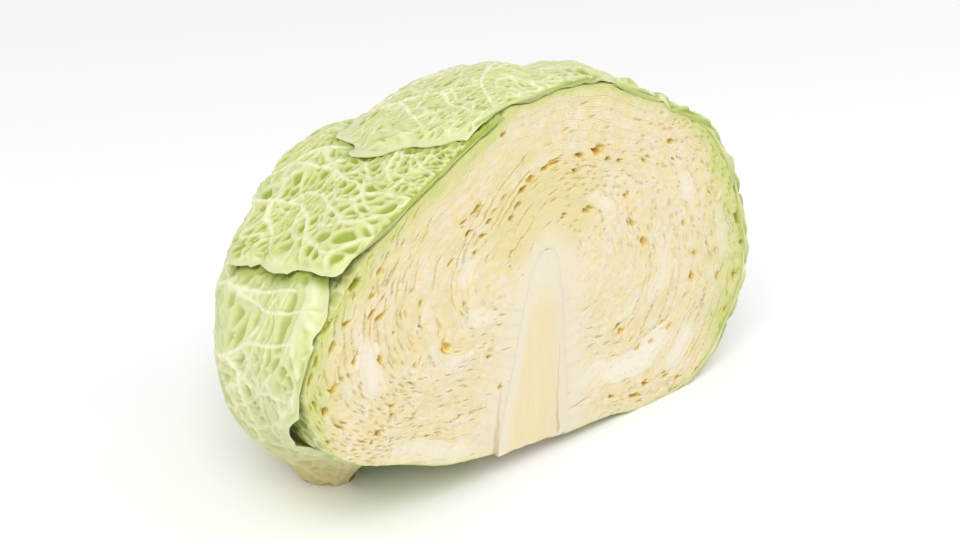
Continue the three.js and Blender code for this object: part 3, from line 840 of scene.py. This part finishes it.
def cup_piece(index, layers, material):
    """One cup of inner leaves: its detailed cut edges, its outer and inner skins, and its back."""
    mean_size = 1 - (layers[0] + 0.5) * PITCH
    coarse_count = max(60, round(RIM_LENGTH[-1] * mean_size / COLUMN_STEP / RING_RATIO))
    angle, coarse_angle = rim_angles(coarse_count * RING_RATIO), rim_angles(coarse_count)
    outermost = index == 0
    shell = Shell(mean_size)
    starts, _ = shell.cut(angle, layers, not outermost)
    outer, inner, _, _ = layer_sizes(angle)
    near = OUTERMOST_NEAR_TILTS if outermost else NEAR_TILTS
    far = OUTERMOST_FAR_TILTS if outermost else FAR_TILTS
    sides = ((True, starts[0], outer[:, layers[0]]), (False, starts[-1], inner[:, layers[-1]]))
    for facing_out, last, front in sides:
        size = float(front.mean())
        relief = skin_relief if outermost and facing_out else None
        rows = skin_rows(angle, front, near, relief)
        rows += skin_rows(coarse_angle, np.full(coarse_count, size), far, relief)
        last = shell.skin(last, rows, facing_out, size=size, wall=float(outermost and facing_out))
        shell.pole(last, coarse_count, size, facing_out)
    return shell.piece("inner_leaf_%02d" % (index + 1), material, "inner_leaf")


def skin_relief(angle, tilt):
    """Pits of the outermost cup's skin, which shows between leaves, and its swelling under a slung one."""
    along = rim_length_at(angle) * math.cos(math.radians(tilt))
    back = math.radians(tilt) * SKIN_REACH
    first, second, _ = cells(along / SKIN_PIT_STEP, np.full(along.shape, back / SKIN_PIT_STEP), 51)
    pits = -0.9 * smoothstep(0.05, 0.5, second - first) * min(1.0, tilt / 6)
    return pits + 0.6 * risen(SLINGS, cut_direction(angle, tilt)) * smoothstep(0, 12, tilt)


# Scars in the cut face, each a line through points x, z, with its half width, in mm
SCARS = [
    (1.35, [(-15.0, -55), (-15.0, -50), (-14.4, -45), (-14.2, -42), (-13.6, -36), (-12.9, -31)]),
    (0.35, [(12.8, -53), (12.1, -45), (12.6, -38), (12.2, -30), (12.6, -24)]),
]


def scar_at(x, z):
    """1 on a scar, 0 off it."""
    marked = np.zeros(np.shape(x))
    for half, points in SCARS:
        apart, share = line_distance(x + 0.9 * flat_noise(x, z, 3, 64), z, points)
        broken = 0.8 + 0.2 * flat_noise(x, z, 2, 68)
        width = half * (1.25 - share)
        marked = np.maximum(marked, np.exp(-((apart / width) ** 4)) * (1 - 0.6 * share) * broken)
    return marked


def blush_at(x, z):
    """The pinkish band up the right side of the stem."""
    return np.exp(-(((x - 13.5 - 0.03 * z) / 3.6) ** 2)) * smoothstep(0, -14, z) * smoothstep(-60, -50, z)


def finish_colours(points, attributes):
    """Adds what the place on the head decides: how green, yellow and pale it is, scars, the blush, and painted
    shade low at the left.
    """
    x, y, z = points[:, 0], points[:, 1], points[:, 2]
    size = attributes["size"]
    left = smoothstep(-45, -75, x) * smoothstep(-26, -10, z)
    right = smoothstep(58, 88, x) * smoothstep(-52, -40, z)
    upper_left = smoothstep(10, -30, x) * smoothstep(5, 25, z)
    width = 0.008 + 0.03 * smoothstep(20, 42, z) + 0.05 * left + 0.07 * right + 0.05 * upper_left
    ragged = width * (0.5 * flat_noise(x, z, 3.2, 61) + 0.35 * flat_noise(x, z, 1.3, 66))
    narrow = smoothstep(1 - 1.7 * width, 1 - 0.3 * width, size + ragged)
    broad = smoothstep(1 - 4.5 * width - 0.02, 1, size + ragged)
    heart = np.hypot((x - 5) / 27, (z - 17) / 14)
    mottle = flat_noise(x, z, 6, 65) + 0.5 * flat_noise(x, z, 2.4, 67)
    warm = 0.6 * smoothstep(0.05, 0.8, mottle + 0.45 * smoothstep(-20, -55, x))
    warm = warm * smoothstep(0, 24, beside_stem(x, z))
    patchy = 0.8 + (0.35 + 0.35 * right) * flat_noise(x, z, 3, 69)
    attributes["green"] = np.clip((0.7 * narrow + 0.3 * broad) * patchy, 0, 1) * (1 - attributes["wall"])
    heart = heart + 0.15 * flat_noise(x, z, 6, 62)
    attributes["yellow"] = np.maximum(1 - smoothstep(0.7, 1.1, heart), warm)
    pale = 1 - smoothstep(1, 15, beside_stem(x, z) + 4 * flat_noise(x, z, 7, 63))
    attributes["pale"] = pale * smoothstep(22, 7, z)
    under_stem = smoothstep(24, 15, np.hypot(x - STEM_BASE[0], y)) * smoothstep(-30, -40, z)
    attributes["wall"] = attributes["wall"] * (1 - under_stem)
    attributes["scar"] = scar_at(x, z)
    attributes["blush"] = blush_at(x, z)
    # Painted shade in the crevice low at the left, between the lowest leaf and the head.
    attributes["foot_shade"] = smoothstep(-36, -50, z) * smoothstep(-40, -55, x)
    return attributes


def heart_piece(material):
    """The crumpled young leaves round the growing point, with a closed back."""
    angle = rim_angles(HEART_COLUMNS)
    shell = Shell(HEART_SIZE)
    starts, rows = shell.cut(angle, range(LAYERS, LAYERS + HEART_LAYERS), True)
    middle = shell.add(rows[-1].mean(0)[None])
    shell.faces += fan(middle, starts[-1], HEART_COLUMNS)
    outer = layer_sizes(angle)[0][:, LAYERS]
    last = shell.skin(starts[0], skin_rows(angle, outer, HEART_TILTS, None), True)
    shell.pole(last, HEART_COLUMNS, outer.mean(), True)
    return shell.piece("heart", material, "heart")


# ---------------------------------------------------------------- stem
STEM_FRONT = FRONT_Y - 0.03  # mm that the stem's cut face lies behind the cut
STEM_TRIM = 1.6  # mm that the stem's ragged end hangs below its plain one
STEM_ACROSS = 72  # points across the cut face, then round the back, then rows up the stem
STEM_AROUND = 28
STEM_ROWS = 110


def stem_piece(material):
    """The half-round stem: a fibrous cut face in front and a round back, closed at both ends."""
    heights = np.linspace(-STEM_TRIM, STEM_PROFILE[-1][0], STEM_ROWS)
    ring = STEM_ACROSS + STEM_AROUND
    sine, cosine = math.sin(STEM_LEAN), math.cos(STEM_LEAN)
    vertices, faces, fibre = [], [], []
    for height in heights:
        radius = float(stem_radius(height))
        u = np.sin(np.linspace(-np.pi / 2, np.pi / 2, STEM_ACROSS, endpoint=False))
        line = 0.08 * noise(u * 6, height / 30, 0.5, 71) + 0.04 * noise(u * 16, height / 20, 0.5, 72)
        line = STEM_FRONT + line * (1 - u**6)
        front = np.stack([u * radius, line, np.full(STEM_ACROSS, height)], -1)
        turn = np.linspace(0, np.pi, STEM_AROUND, endpoint=False)
        deep = STEM_FRONT + radius * np.sin(turn)
        back = np.stack([radius * np.cos(turn), deep, np.full(STEM_AROUND, height)], -1)
        points = np.concatenate([front, back])
        ragged = 0.7 * noise(points[:, 0] / 3, points[:, 1] / 3, 0.5, 75)
        points[:, 2] += ragged * smoothstep(6, 0, points[:, 2])
        x = STEM_BASE[0] + points[:, 0] * cosine + points[:, 2] * sine
        z = STEM_BASE[2] - points[:, 0] * sine + points[:, 2] * cosine
        y = points[:, 1] + 0.3 * scar_at(x, z) * (np.arange(ring) < STEM_ACROSS)
        vertices.append(np.stack([x, y, np.maximum(z, TABLE_Z)], -1))
        fibre.append(points[:, 0] / radius)
    for row in range(STEM_ROWS - 1):
        faces += ring_quads((row + 1) * ring, row * ring, ring)
    points = np.concatenate(vertices + [vertices[0].mean(0)[None], vertices[-1].mean(0)[None]])
    low = STEM_ROWS * ring
    faces += fan(low, 0, ring) + fan(low + 1, (STEM_ROWS - 1) * ring, ring, turned=True)
    x, z = points[:, 0], points[:, 2]
    attributes = {
        "across": np.concatenate(fibre + [np.zeros(2)]),
        "up": (z - STEM_BASE[2]) / STEM_PROFILE[-1][0],
        "fibre": 0.5 + 0.5 * noise(x / 1.1, z / 26, 0.5, 73) + 0.3 * noise(x / 0.5, z / 12, 0.5, 74),
        "scar": scar_at(x, z),
        "blush": blush_at(x, z),
    }
    return make_piece("stem", points, faces, attributes, material)


# ---------------------------------------------------------------- outer leaves
def above_bed(d, height):
    """The point a given height above the bed of the outer leaves, measured square to the bed."""
    step = 0.01
    side = unit(np.stack([d[..., 2], np.zeros(d.shape[:-1]), -d[..., 0]], -1) + 1e-9)
    up = np.cross(d, side)
    east = head_point(unit(d + step * side), LEAF_BED) - head_point(unit(d - step * side), LEAF_BED)
    north = head_point(unit(d + step * up), LEAF_BED) - head_point(unit(d - step * up), LEAF_BED)
    normal = unit(np.cross(east, north))
    normal = normal * np.sign(np.sum(normal * d, -1, keepdims=True))
    return head_point(d, LEAF_BED) + normal * height[..., None]


def main_veins(leaf, x, y, v):
    """How strongly each point lies on one of a leaf's main veins, 0 to 1."""
    if leaf["name"] in VEINS:
        strongest = np.zeros(x.shape)
        for points in VEINS[leaf["name"]]:
            apart, share = line_distance(x, y, points)
            width = VEIN_WIDTH * (0.7 - 0.3 * share)
            strongest = np.maximum(strongest, np.exp(-((apart / width) ** 2)) * (1 - 0.25 * share))
        return strongest
    midrib = np.exp(-((x / (1.2 + 1.8 * smoothstep(1, -1, v))) ** 2))
    slant = (y - 0.75 * np.abs(x) + 0.004 * x**2) / SIDE_VEIN_STEP
    slant = slant + 0.45 * (x > 0) + 0.18 * noise(y / 25, x / 25, 0.5, leaf["seed"])
    off = np.abs(slant - np.round(slant)) * SIDE_VEIN_STEP * 0.8
    side = np.exp(-((off / 0.95) ** 2)) * smoothstep(leaf["half"][1] * 1.05, leaf["half"][1] * 0.5, np.abs(x))
    return np.maximum(midrib, 0.9 * side)


def vein_net(leaf, across, along, v):
    """Height of the raised net, from 0 in the pits, how strongly a vein shows, and how deep a pit looks."""
    seed = leaf["seed"]
    x = across + 1.5 * leaf_noise(leaf, across, along, 11, 81)
    y = along + 1.5 * leaf_noise(leaf, across, along, 11, 82)
    main = main_veins(leaf, x, y, v)
    x = x + 0.8 * leaf_noise(leaf, across, along, 3.6, 84)
    y = y + 0.8 * leaf_noise(leaf, across, along, 3.6, 85)
    grain = math.radians(GRAIN.get(leaf["name"], PLAIN_GRAIN))
    grain = grain + 0.35 * leaf_noise(leaf, across, along, 30, 83)
    run = (x * np.cos(grain) + y * np.sin(grain)) / CELL_STRETCH
    side = y * np.cos(grain) - x * np.sin(grain)
    first, second, owner = cells(run / CELL, side / CELL, seed)
    edge = second - first
    wall = 1 - smoothstep(0.0, 0.34, edge)
    wide_first, wide_second, _ = cells(run / WIDE_CELL, side / WIDE_CELL, seed + 2)
    wide_wall = np.exp(-(((wide_second - wide_first) * WIDE_CELL / 1.5) ** 2))
    fine_first, fine_second, _ = cells(run / CELL * 2.1, side / CELL * 2.1, seed + 1)
    fine_wall = 1 - smoothstep(0.0, 0.42, fine_second - fine_first)
    shallow = SPARSE_PITS.get(leaf["name"], 0.1)
    pit = smoothstep(0.05, 0.55, edge) * (0.25 + 0.75 * smoothstep(shallow - 0.3, shallow + 0.3, owner))
    pit = pit * (1 - 0.85 * main) * (1 - 0.75 * wide_wall)
    height = 1 - 0.92 * pit + 0.12 * fine_wall * pit
    height = height + 0.22 * main + 0.1 * wide_wall
    vein = np.maximum.reduce([main, 0.72 * wide_wall, 0.5 * wall, 0.22 * fine_wall])
    return np.clip(height, 0, 1.25), vein, pit


def leaf_height(leaf, index, d, across, v, out, net):
    """Height of a leaf's underside above the bed, and how far its net and rib rise above its blade."""
    pile = pile_height(leaf, index, d)
    covers = [support(other, d) for other in OUTER_LEAVES[index + 1:]]
    free = 1 - np.maximum.reduce(covers + [np.zeros(across.shape)])
    taper = 0.25 + 0.75 * smoothstep(-0.9, 1, -v)
    rib = RIB_HEIGHT * taper * np.exp(-0.5 * (2 * across / RIB_HALF_WIDTH) ** 2)
    if leaf["name"] in VEINS:
        rib = 0 * rib
    frill = 0.6 + 0.4 * noise(across / 6, v * leaf["half"][0] / 6, leaf["seed"], 91)
    lift = MARGIN_LIFT * (0.25 if leaf["name"] in FLAT_MARGINS else 1.0)
    curl = lift * free * smoothstep(0.8, 1, out) * frill
    if leaf["name"] in FLAT_MARGINS:
        curl = curl - 0.8 * smoothstep(0.82, 1, out)
    base = pile + curl + sling_rise(leaf, d) + lumps(leaf, across, v * leaf["half"][0])
    return base, np.maximum(NET_HEIGHT * 0.8 * net, rib + 0.5 * NET_HEIGHT * net)


def disc_places(cell_count):
    """A square grid bent into a disc."""
    a, b = np.meshgrid(np.linspace(-1, 1, cell_count + 1), np.linspace(-1, 1, cell_count + 1))
    return a * np.sqrt(1 - b * b / 2), b * np.sqrt(1 - a * a / 2)


def leaf_grid(leaf, index, cell_count):
    """Points of the outer side and of the underside of a leaf, with what colours them."""
    u, v = disc_places(cell_count)
    out, turn = np.hypot(u, v), np.arctan2(v, u)
    seed = leaf["seed"]
    lobes = outline_share(leaf, turn)
    frill = 0.02 * noise(turn * 9, 0.5, seed, 92) + 0.012 * noise(turn * 21, 0.5, seed, 94)
    u, v = (c * (1 + (lobes + frill) * out**4) for c in (u, v))
    across, along = u * leaf["half"][1] * width_share(v), v * leaf["half"][0]
    along = along + LONG_TIPS.get(leaf["name"], 0.0) * np.clip(v, 0, 1) ** 3
    d = leaf_direction(leaf, across, along)
    net, vein, pit = vein_net(leaf, across, along, v)
    rim = smoothstep(0.86 if leaf["name"] in FLAT_MARGINS else 0.94, 1.0, out)
    net = net * (1 - rim)
    base, raised = leaf_height(leaf, index, d, across, v, out, net)
    upper = above_bed(d, base + BLADE * (1 - 0.65 * rim) + raised * (1 - rim))
    lower = above_bed(d, base + 0.15 * raised)
    apart = [outside_leaf(other, d, lobed=True) for other in OUTER_LEAVES[index + 1:]]
    nearest = np.min(apart + [np.full(out.shape, FAR_AWAY)], 0)
    attributes = {
        "vein": vein * (1 - rim) + 0.55 * rim,
        "pit": pit * (1 - rim) * PIT_TINT.get(leaf["name"], 1.0),
        "shade": 1 - smoothstep(0.3, 3.6, nearest),
        "paleness": np.full(out.shape, PALENESS.get(leaf["name"], 0.3)),
        "base": smoothstep(0.1, -1.0, v),
        # Painted shade low at the left, where the lowest leaf hangs beside the head.
        "foot_shade": smoothstep(-40, -56, upper[..., 2]) * smoothstep(-30, -42, upper[..., 0]),
    }
    return upper, lower, attributes


def margin_numbers(side, start):
    """Numbers of the vertices round a square grid's margin, in right-handed order."""
    last = side - 1
    steps = np.arange(last)
    low, high = 0 * steps, 0 * steps + last
    across = np.concatenate([steps, high, last - steps, low])
    along = np.concatenate([low, steps, high, last - steps])
    return (start + along * side + across).tolist()


def grid_quads(side, start, flip):
    i, j = np.meshgrid(np.arange(side - 1), np.arange(side - 1))
    a = start + j * side + i
    quads = np.stack([a, a + 1, a + side + 1, a + side], -1).reshape(-1, 4)
    return (quads[:, ::-1] if flip else quads).tolist()


def leaf_piece(leaf, index, material):
    """One outer leaf: a fine outer side with its net, a plainer underside, cut off where the head is cut."""
    cell_count = VEINED_CELLS if leaf["name"] in VEINS else PLAIN_CELLS
    upper, lower, attributes = leaf_grid(leaf, index, cell_count)
    side = cell_count + 1
    coarse = slice(None, None, UNDER_STRIDE)
    upper[..., 2] = np.maximum(upper[..., 2], TABLE_Z)
    lower = lower[coarse, coarse]
    lower[..., 2] = np.maximum(lower[..., 2], TABLE_Z + UNDER_CLEARANCE)
    coarse_side = cell_count // UNDER_STRIDE + 1
    start = side * side
    points = np.concatenate([upper.reshape(-1, 3), lower.reshape(-1, 3)])
    faces = grid_quads(side, 0, False) + grid_quads(coarse_side, start, True)
    faces += stitch(margin_numbers(side, 0), margin_numbers(coarse_side, start), UNDER_STRIDE)
    merged = {}
    for key, values in attributes.items():
        under = values[coarse, coarse] if key != "pit" else np.full(lower.shape[:2], 0.5)
        merged[key] = np.concatenate([values.reshape(-1), under.reshape(-1)])
    trim_at_cut(make_piece(leaf["name"], points, faces, merged, material))


def trim_at_cut(piece):
    """Cuts a piece off at the plane of the cut face and closes it there."""
    mesh = bmesh.new()
    mesh.from_mesh(piece.data)
    bmesh.ops.bisect_plane(
        mesh, geom=mesh.verts[:] + mesh.edges[:] + mesh.faces[:], dist=1e-7,
        plane_co=(0, SHIFT[1], 0), plane_no=(0, -1, 0), clear_outer=True,
    )
    edges = [e for e in mesh.edges if e.is_boundary]
    if edges:
        bmesh.ops.holes_fill(mesh, edges=edges, sides=0)
    mesh.to_mesh(piece.data)
    mesh.free()
    piece.data.polygons.foreach_set("use_smooth", np.ones(len(piece.data.polygons), bool))


# ---------------------------------------------------------------- materials
NET_BEND = 0.006  # m that the lines of a painted net wander


class Nodes:
    """Short calls for building a material's node tree."""

    def __init__(self, name):
        self.material = bpy.data.materials.new(name)
        self.material.use_nodes = True
        self.tree = self.material.node_tree
        self.shader = self.tree.nodes["Principled BSDF"]

    def link(self, source, target):
        self.tree.links.new(source, target)

    def node(self, kind, **values):
        made = self.tree.nodes.new(kind)
        for key, value in values.items():
            setattr(made, key, value)
        return made

    def attribute(self, name):
        return self.node("ShaderNodeAttribute", attribute_name=name).outputs["Fac"]

    def place(self):
        return self.node("ShaderNodeTexCoord").outputs["Object"]

    def noise(self, scale, detail):
        made = self.node("ShaderNodeTexNoise")
        made.inputs["Scale"].default_value = scale
        made.inputs["Detail"].default_value = detail
        self.link(self.place(), made.inputs["Vector"])
        return made.outputs["Fac"]

    def net(self, scale, unevenness):
        """How far a place lies from the nearest line of a net, uneven by a noise value."""
        made = self.node("ShaderNodeTexVoronoi", feature="DISTANCE_TO_EDGE")
        made.inputs["Scale"].default_value = scale
        bent = self.node("ShaderNodeVectorMath", operation="MULTIPLY_ADD")
        self.link(unevenness, bent.inputs[0])
        bent.inputs[1].default_value = (NET_BEND, NET_BEND, NET_BEND)
        self.link(self.place(), bent.inputs[2])
        self.link(bent.outputs["Vector"], made.inputs["Vector"])
        return made.outputs["Distance"]

    def ramp(self, factor, low, high, out_low=0.0, out_high=1.0):
        made = self.node("ShaderNodeMapRange", interpolation_type="SMOOTHSTEP")
        for key, value in zip(("From Min", "From Max", "To Min", "To Max"), (low, high, out_low, out_high)):
            made.inputs[key].default_value = value
        self.link(factor, made.inputs["Value"])
        return made.outputs["Result"]

    def mix(self, factor, a, b):
        made = self.node("ShaderNodeMix", data_type="RGBA", clamp_factor=True)
        colour_a, colour_b = [s for s in made.inputs if s.type == "RGBA"]
        self.link(factor, made.inputs["Factor"])
        for socket, value in ((colour_a, a), (colour_b, b)):
            if isinstance(value, tuple):
                socket.default_value = (*value, 1.0)
            else:
                self.link(value, socket)
        return [s for s in made.outputs if s.type == "RGBA"][0]

    def maths(self, operation, value, number=None):
        made = self.node("ShaderNodeMath", operation=operation)
        self.link(value, made.inputs[0])
        if number is not None:
            made.inputs[1].default_value = number
        return made.outputs[0]

    def tint(self, colour, name, strength, towards):
        """Mixes a colour in as strongly as a named attribute says."""
        return self.mix(self.maths("MULTIPLY", self.attribute(name), strength), colour, towards)

    def finish(self, colour, roughness, subsurface, radius, bump, bump_distance, bump_strength):
        self.link(colour, self.shader.inputs["Base Color"])
        self.shader.inputs["Roughness"].default_value = roughness
        self.shader.inputs["Subsurface Weight"].default_value = subsurface
        self.shader.inputs["Subsurface Radius"].default_value = radius
        self.shader.inputs["Subsurface Scale"].default_value = 1.0
        self.shader.inputs["Specular IOR Level"].default_value = 0.35
        node = self.node("ShaderNodeBump")
        node.inputs["Distance"].default_value = bump_distance
        node.inputs["Strength"].default_value = bump_strength
        self.link(bump, node.inputs["Height"])
        self.link(node.outputs["Normal"], self.shader.inputs["Normal"])
        return self.material


# Colours, as linear red, green and blue
CREAM = (0.70, 0.60, 0.39)
CREAM_WARM = (0.68, 0.56, 0.27)
FLESH_WHITE = (0.69, 0.63, 0.49)
RIB_WHITE = (0.74, 0.69, 0.58)
MUSTARD = (0.68, 0.50, 0.12)
ORANGE = (0.64, 0.39, 0.07)
LIME = (0.42, 0.46, 0.04)
BROWN = (0.47, 0.28, 0.12)
BLUSH = (0.68, 0.56, 0.42)
HEART_YELLOW = (0.64, 0.55, 0.26)
RIM_GREEN = (0.50, 0.54, 0.17)
WALL_GREEN_AND_SHADE = (0.34, 0.42, 0.08)
LEAF_GREEN = (0.56, 0.60, 0.21)
LEAF_PALE = (0.60, 0.63, 0.33)
PIT_AND_SHADE_GREEN = (0.28, 0.36, 0.02)
VEIN_PALE = (0.77, 0.77, 0.52)
FOOT_SHADE_BROWN = (0.55, 0.38, 0.12)
STEM_YELLOW = (0.69, 0.59, 0.35)


def cut_material():
    n = Nodes("cut_leaf")
    grain = n.noise(620, 4)
    speck = n.noise(480, 3)
    blotch = n.noise(120, 4)
    patch = n.noise(310, 2)
    squiggle = n.maths("ABSOLUTE", n.maths("SUBTRACT", n.noise(230, 1.5), 0.5))
    colour = n.mix(n.ramp(blotch, 0.42, 0.66), CREAM, FLESH_WHITE)
    colour = n.mix(n.ramp(patch, 0.5, 0.64, 0.0, 0.75), colour, FLESH_WHITE)
    colour = n.mix(n.ramp(n.attribute("tone"), 0.4, 1.1, 0.0, 0.6), colour, CREAM_WARM)
    colour = n.mix(n.ramp(speck, 0.5, 0.66, 0.0, 0.75), colour, CREAM_WARM)
    colour = n.mix(n.ramp(squiggle, 0.0, 0.045, 0.5, 0.0), colour, CREAM_WARM)
    colour = n.tint(colour, "yellow", 0.75, HEART_YELLOW)
    colour = n.tint(colour, "rib", 0.8, RIB_WHITE)
    colour = n.tint(colour, "pale", 0.75, FLESH_WHITE)
    colour = n.tint(colour, "blush", 0.5, BLUSH)
    colour = n.mix(n.attribute("green"), colour, RIM_GREEN)
    # Painted shade in the grooves, holes and pits, over the yellow of the leaves deeper in; the deepest turn
    # orange, as deeper painted shade.
    hollow_yellow_and_shade = n.mix(n.attribute("green"), MUSTARD, LIME)
    colour = n.mix(n.ramp(n.attribute("hollow"), 0.03, 0.85, 0.0, 0.95), colour, hollow_yellow_and_shade)
    colour = n.mix(n.ramp(n.attribute("hollow"), 0.9, 1.5, 0.0, 0.6), colour, ORANGE)
    colour = n.tint(colour, "scar", 0.75, BROWN)
    # The inner head's skin: pale net lines on dark green, partly its own green and partly painted shade where
    # it shows in the gaps under the leaves.
    wall = n.mix(n.ramp(n.net(210, n.noise(90, 2)), 0.02, 0.2), LEAF_PALE, WALL_GREEN_AND_SHADE)
    # Painted shade, orange, in the crevice low at the left.
    wall = n.tint(wall, "foot_shade", 0.8, ORANGE)
    colour = n.mix(n.attribute("wall"), colour, wall)
    return n.finish(colour, 0.5, 0.25, (0.0025, 0.0018, 0.0007), grain, 0.0003, 0.5)


def stem_material():
    n = Nodes("cut_stem")
    grain = n.noise(300, 4)
    edge = n.maths("ABSOLUTE", n.attribute("across"))
    colour = n.mix(n.ramp(n.attribute("fibre"), 0.2, 1.0, 0.0, 0.35), STEM_YELLOW, FLESH_WHITE)
    colour = n.mix(n.ramp(edge, 0.5, 0.9), colour, FLESH_WHITE)
    colour = n.mix(n.ramp(n.attribute("up"), 0.62, 0.9), colour, FLESH_WHITE)
    colour = n.tint(colour, "blush", 0.5, BLUSH)
    colour = n.tint(colour, "scar", 0.75, BROWN)
    return n.finish(colour, 0.45, 0.3, (0.004, 0.003, 0.0012), grain, 0.0001, 0.3)


def leaf_material():
    n = Nodes("outer_leaf")
    grain = n.noise(520, 4)
    drift = n.noise(45, 2)
    ground = n.mix(n.attribute("paleness"), LEAF_GREEN, LEAF_PALE)
    ground = n.mix(n.ramp(drift, 0.4, 0.7, 0.0, 0.6), ground, LEAF_PALE)
    # Pits dark green: partly the leaf's own colour, partly painted shade in the hollows of the net.
    colour = n.mix(n.ramp(n.attribute("pit"), 0.1, 0.9, 0.0, 0.85), ground, PIT_AND_SHADE_GREEN)
    colour = n.mix(n.ramp(n.attribute("vein"), 0.25, 1.0), colour, VEIN_PALE)
    colour = n.tint(colour, "base", 0.3, FLESH_WHITE)
    colour = n.tint(colour, "shade", 0.75, PIT_AND_SHADE_GREEN)
    # Painted shade, brown, low at the left.
    colour = n.tint(colour, "foot_shade", 0.45, FOOT_SHADE_BROWN)
    return n.finish(colour, 0.45, 0.2, (0.0015, 0.002, 0.0006), grain, 0.00015, 0.4)


# ---------------------------------------------------------------- build
cut_look = cut_material()
stem_look = stem_material()
leaf_look = leaf_material()
stem_piece(stem_look)
heart_piece(cut_look)
edges = np.linspace(0, LAYERS, CUP_COUNT + 1).round().astype(int)
for cup in range(CUP_COUNT):
    cup_piece(cup, list(range(edges[cup], edges[cup + 1])), cut_look)
for number, leaf in enumerate(OUTER_LEAVES):
    leaf_piece(leaf, number, leaf_look)

# ---------------------------------------------------------------- stage, light and camera
FLOOR_HALF = 1.6
floor_mesh = bpy.data.meshes.new("floor")
corners = [(x * FLOOR_HALF, y * FLOOR_HALF, 0) for x, y in ((-1, -1), (1, -1), (1, 1), (-1, 1))]
floor_mesh.from_pydata(corners, [], [(0, 1, 2, 3)])
floor = placed("floor", floor_mesh)
paper = Nodes("paper")
paper.shader.inputs["Base Color"].default_value = (0.93, 0.93, 0.93, 1)
paper.shader.inputs["Roughness"].default_value = 0.9
floor_mesh.materials.append(paper.material)

world = bpy.data.worlds.new("studio")
world.use_nodes = True
world.node_tree.nodes["Background"].inputs["Color"].default_value = (1, 1, 1, 1)
world.node_tree.nodes["Background"].inputs["Strength"].default_value = 0.75
bpy.context.scene.world = world
bpy.context.scene.view_settings.view_transform = "Standard"


def area_light(name, place, target, size, power):
    data = bpy.data.lights.new(name, "AREA")
    data.size = size
    data.energy = power
    lamp = placed(name, data)
    lamp.location = place
    lamp.rotation_euler = (Vector(target) - Vector(place)).to_track_quat("-Z", "Y").to_euler()


LIGHT_TARGET = (0, 0, 0.05)
area_light("key", (-0.9, -0.7, 1.1), LIGHT_TARGET, 0.9, 14)
area_light("fill", (0.9, -0.9, 0.5), LIGHT_TARGET, 1.0, 4)

# Camera: the photograph's viewpoint, in the head's coordinates (mm)
CAMERA_AZIMUTH = math.radians(47.12)  # to the left of the cut face's front
CAMERA_ELEVATION = math.radians(21.83)
CAMERA_DISTANCE = 560.6
CAMERA_TARGET = np.array([-21.95, 0.0, 8.54])
LENS = 76.87
back = np.array([
    -math.sin(CAMERA_AZIMUTH) * math.cos(CAMERA_ELEVATION),
    -math.cos(CAMERA_AZIMUTH) * math.cos(CAMERA_ELEVATION),
    math.sin(CAMERA_ELEVATION),
])
camera_data = bpy.data.cameras.new("camera")
camera_data.lens = LENS
camera_data.sensor_width = 36
camera_data.sensor_fit = "HORIZONTAL"
camera_data.clip_start = 0.01
camera = placed("camera", camera_data)
camera.location = (CAMERA_TARGET + CAMERA_DISTANCE * back) * MM + SHIFT
camera.rotation_euler = (math.pi / 2 - CAMERA_ELEVATION, 0, -CAMERA_AZIMUTH)
bpy.context.scene.camera = camera
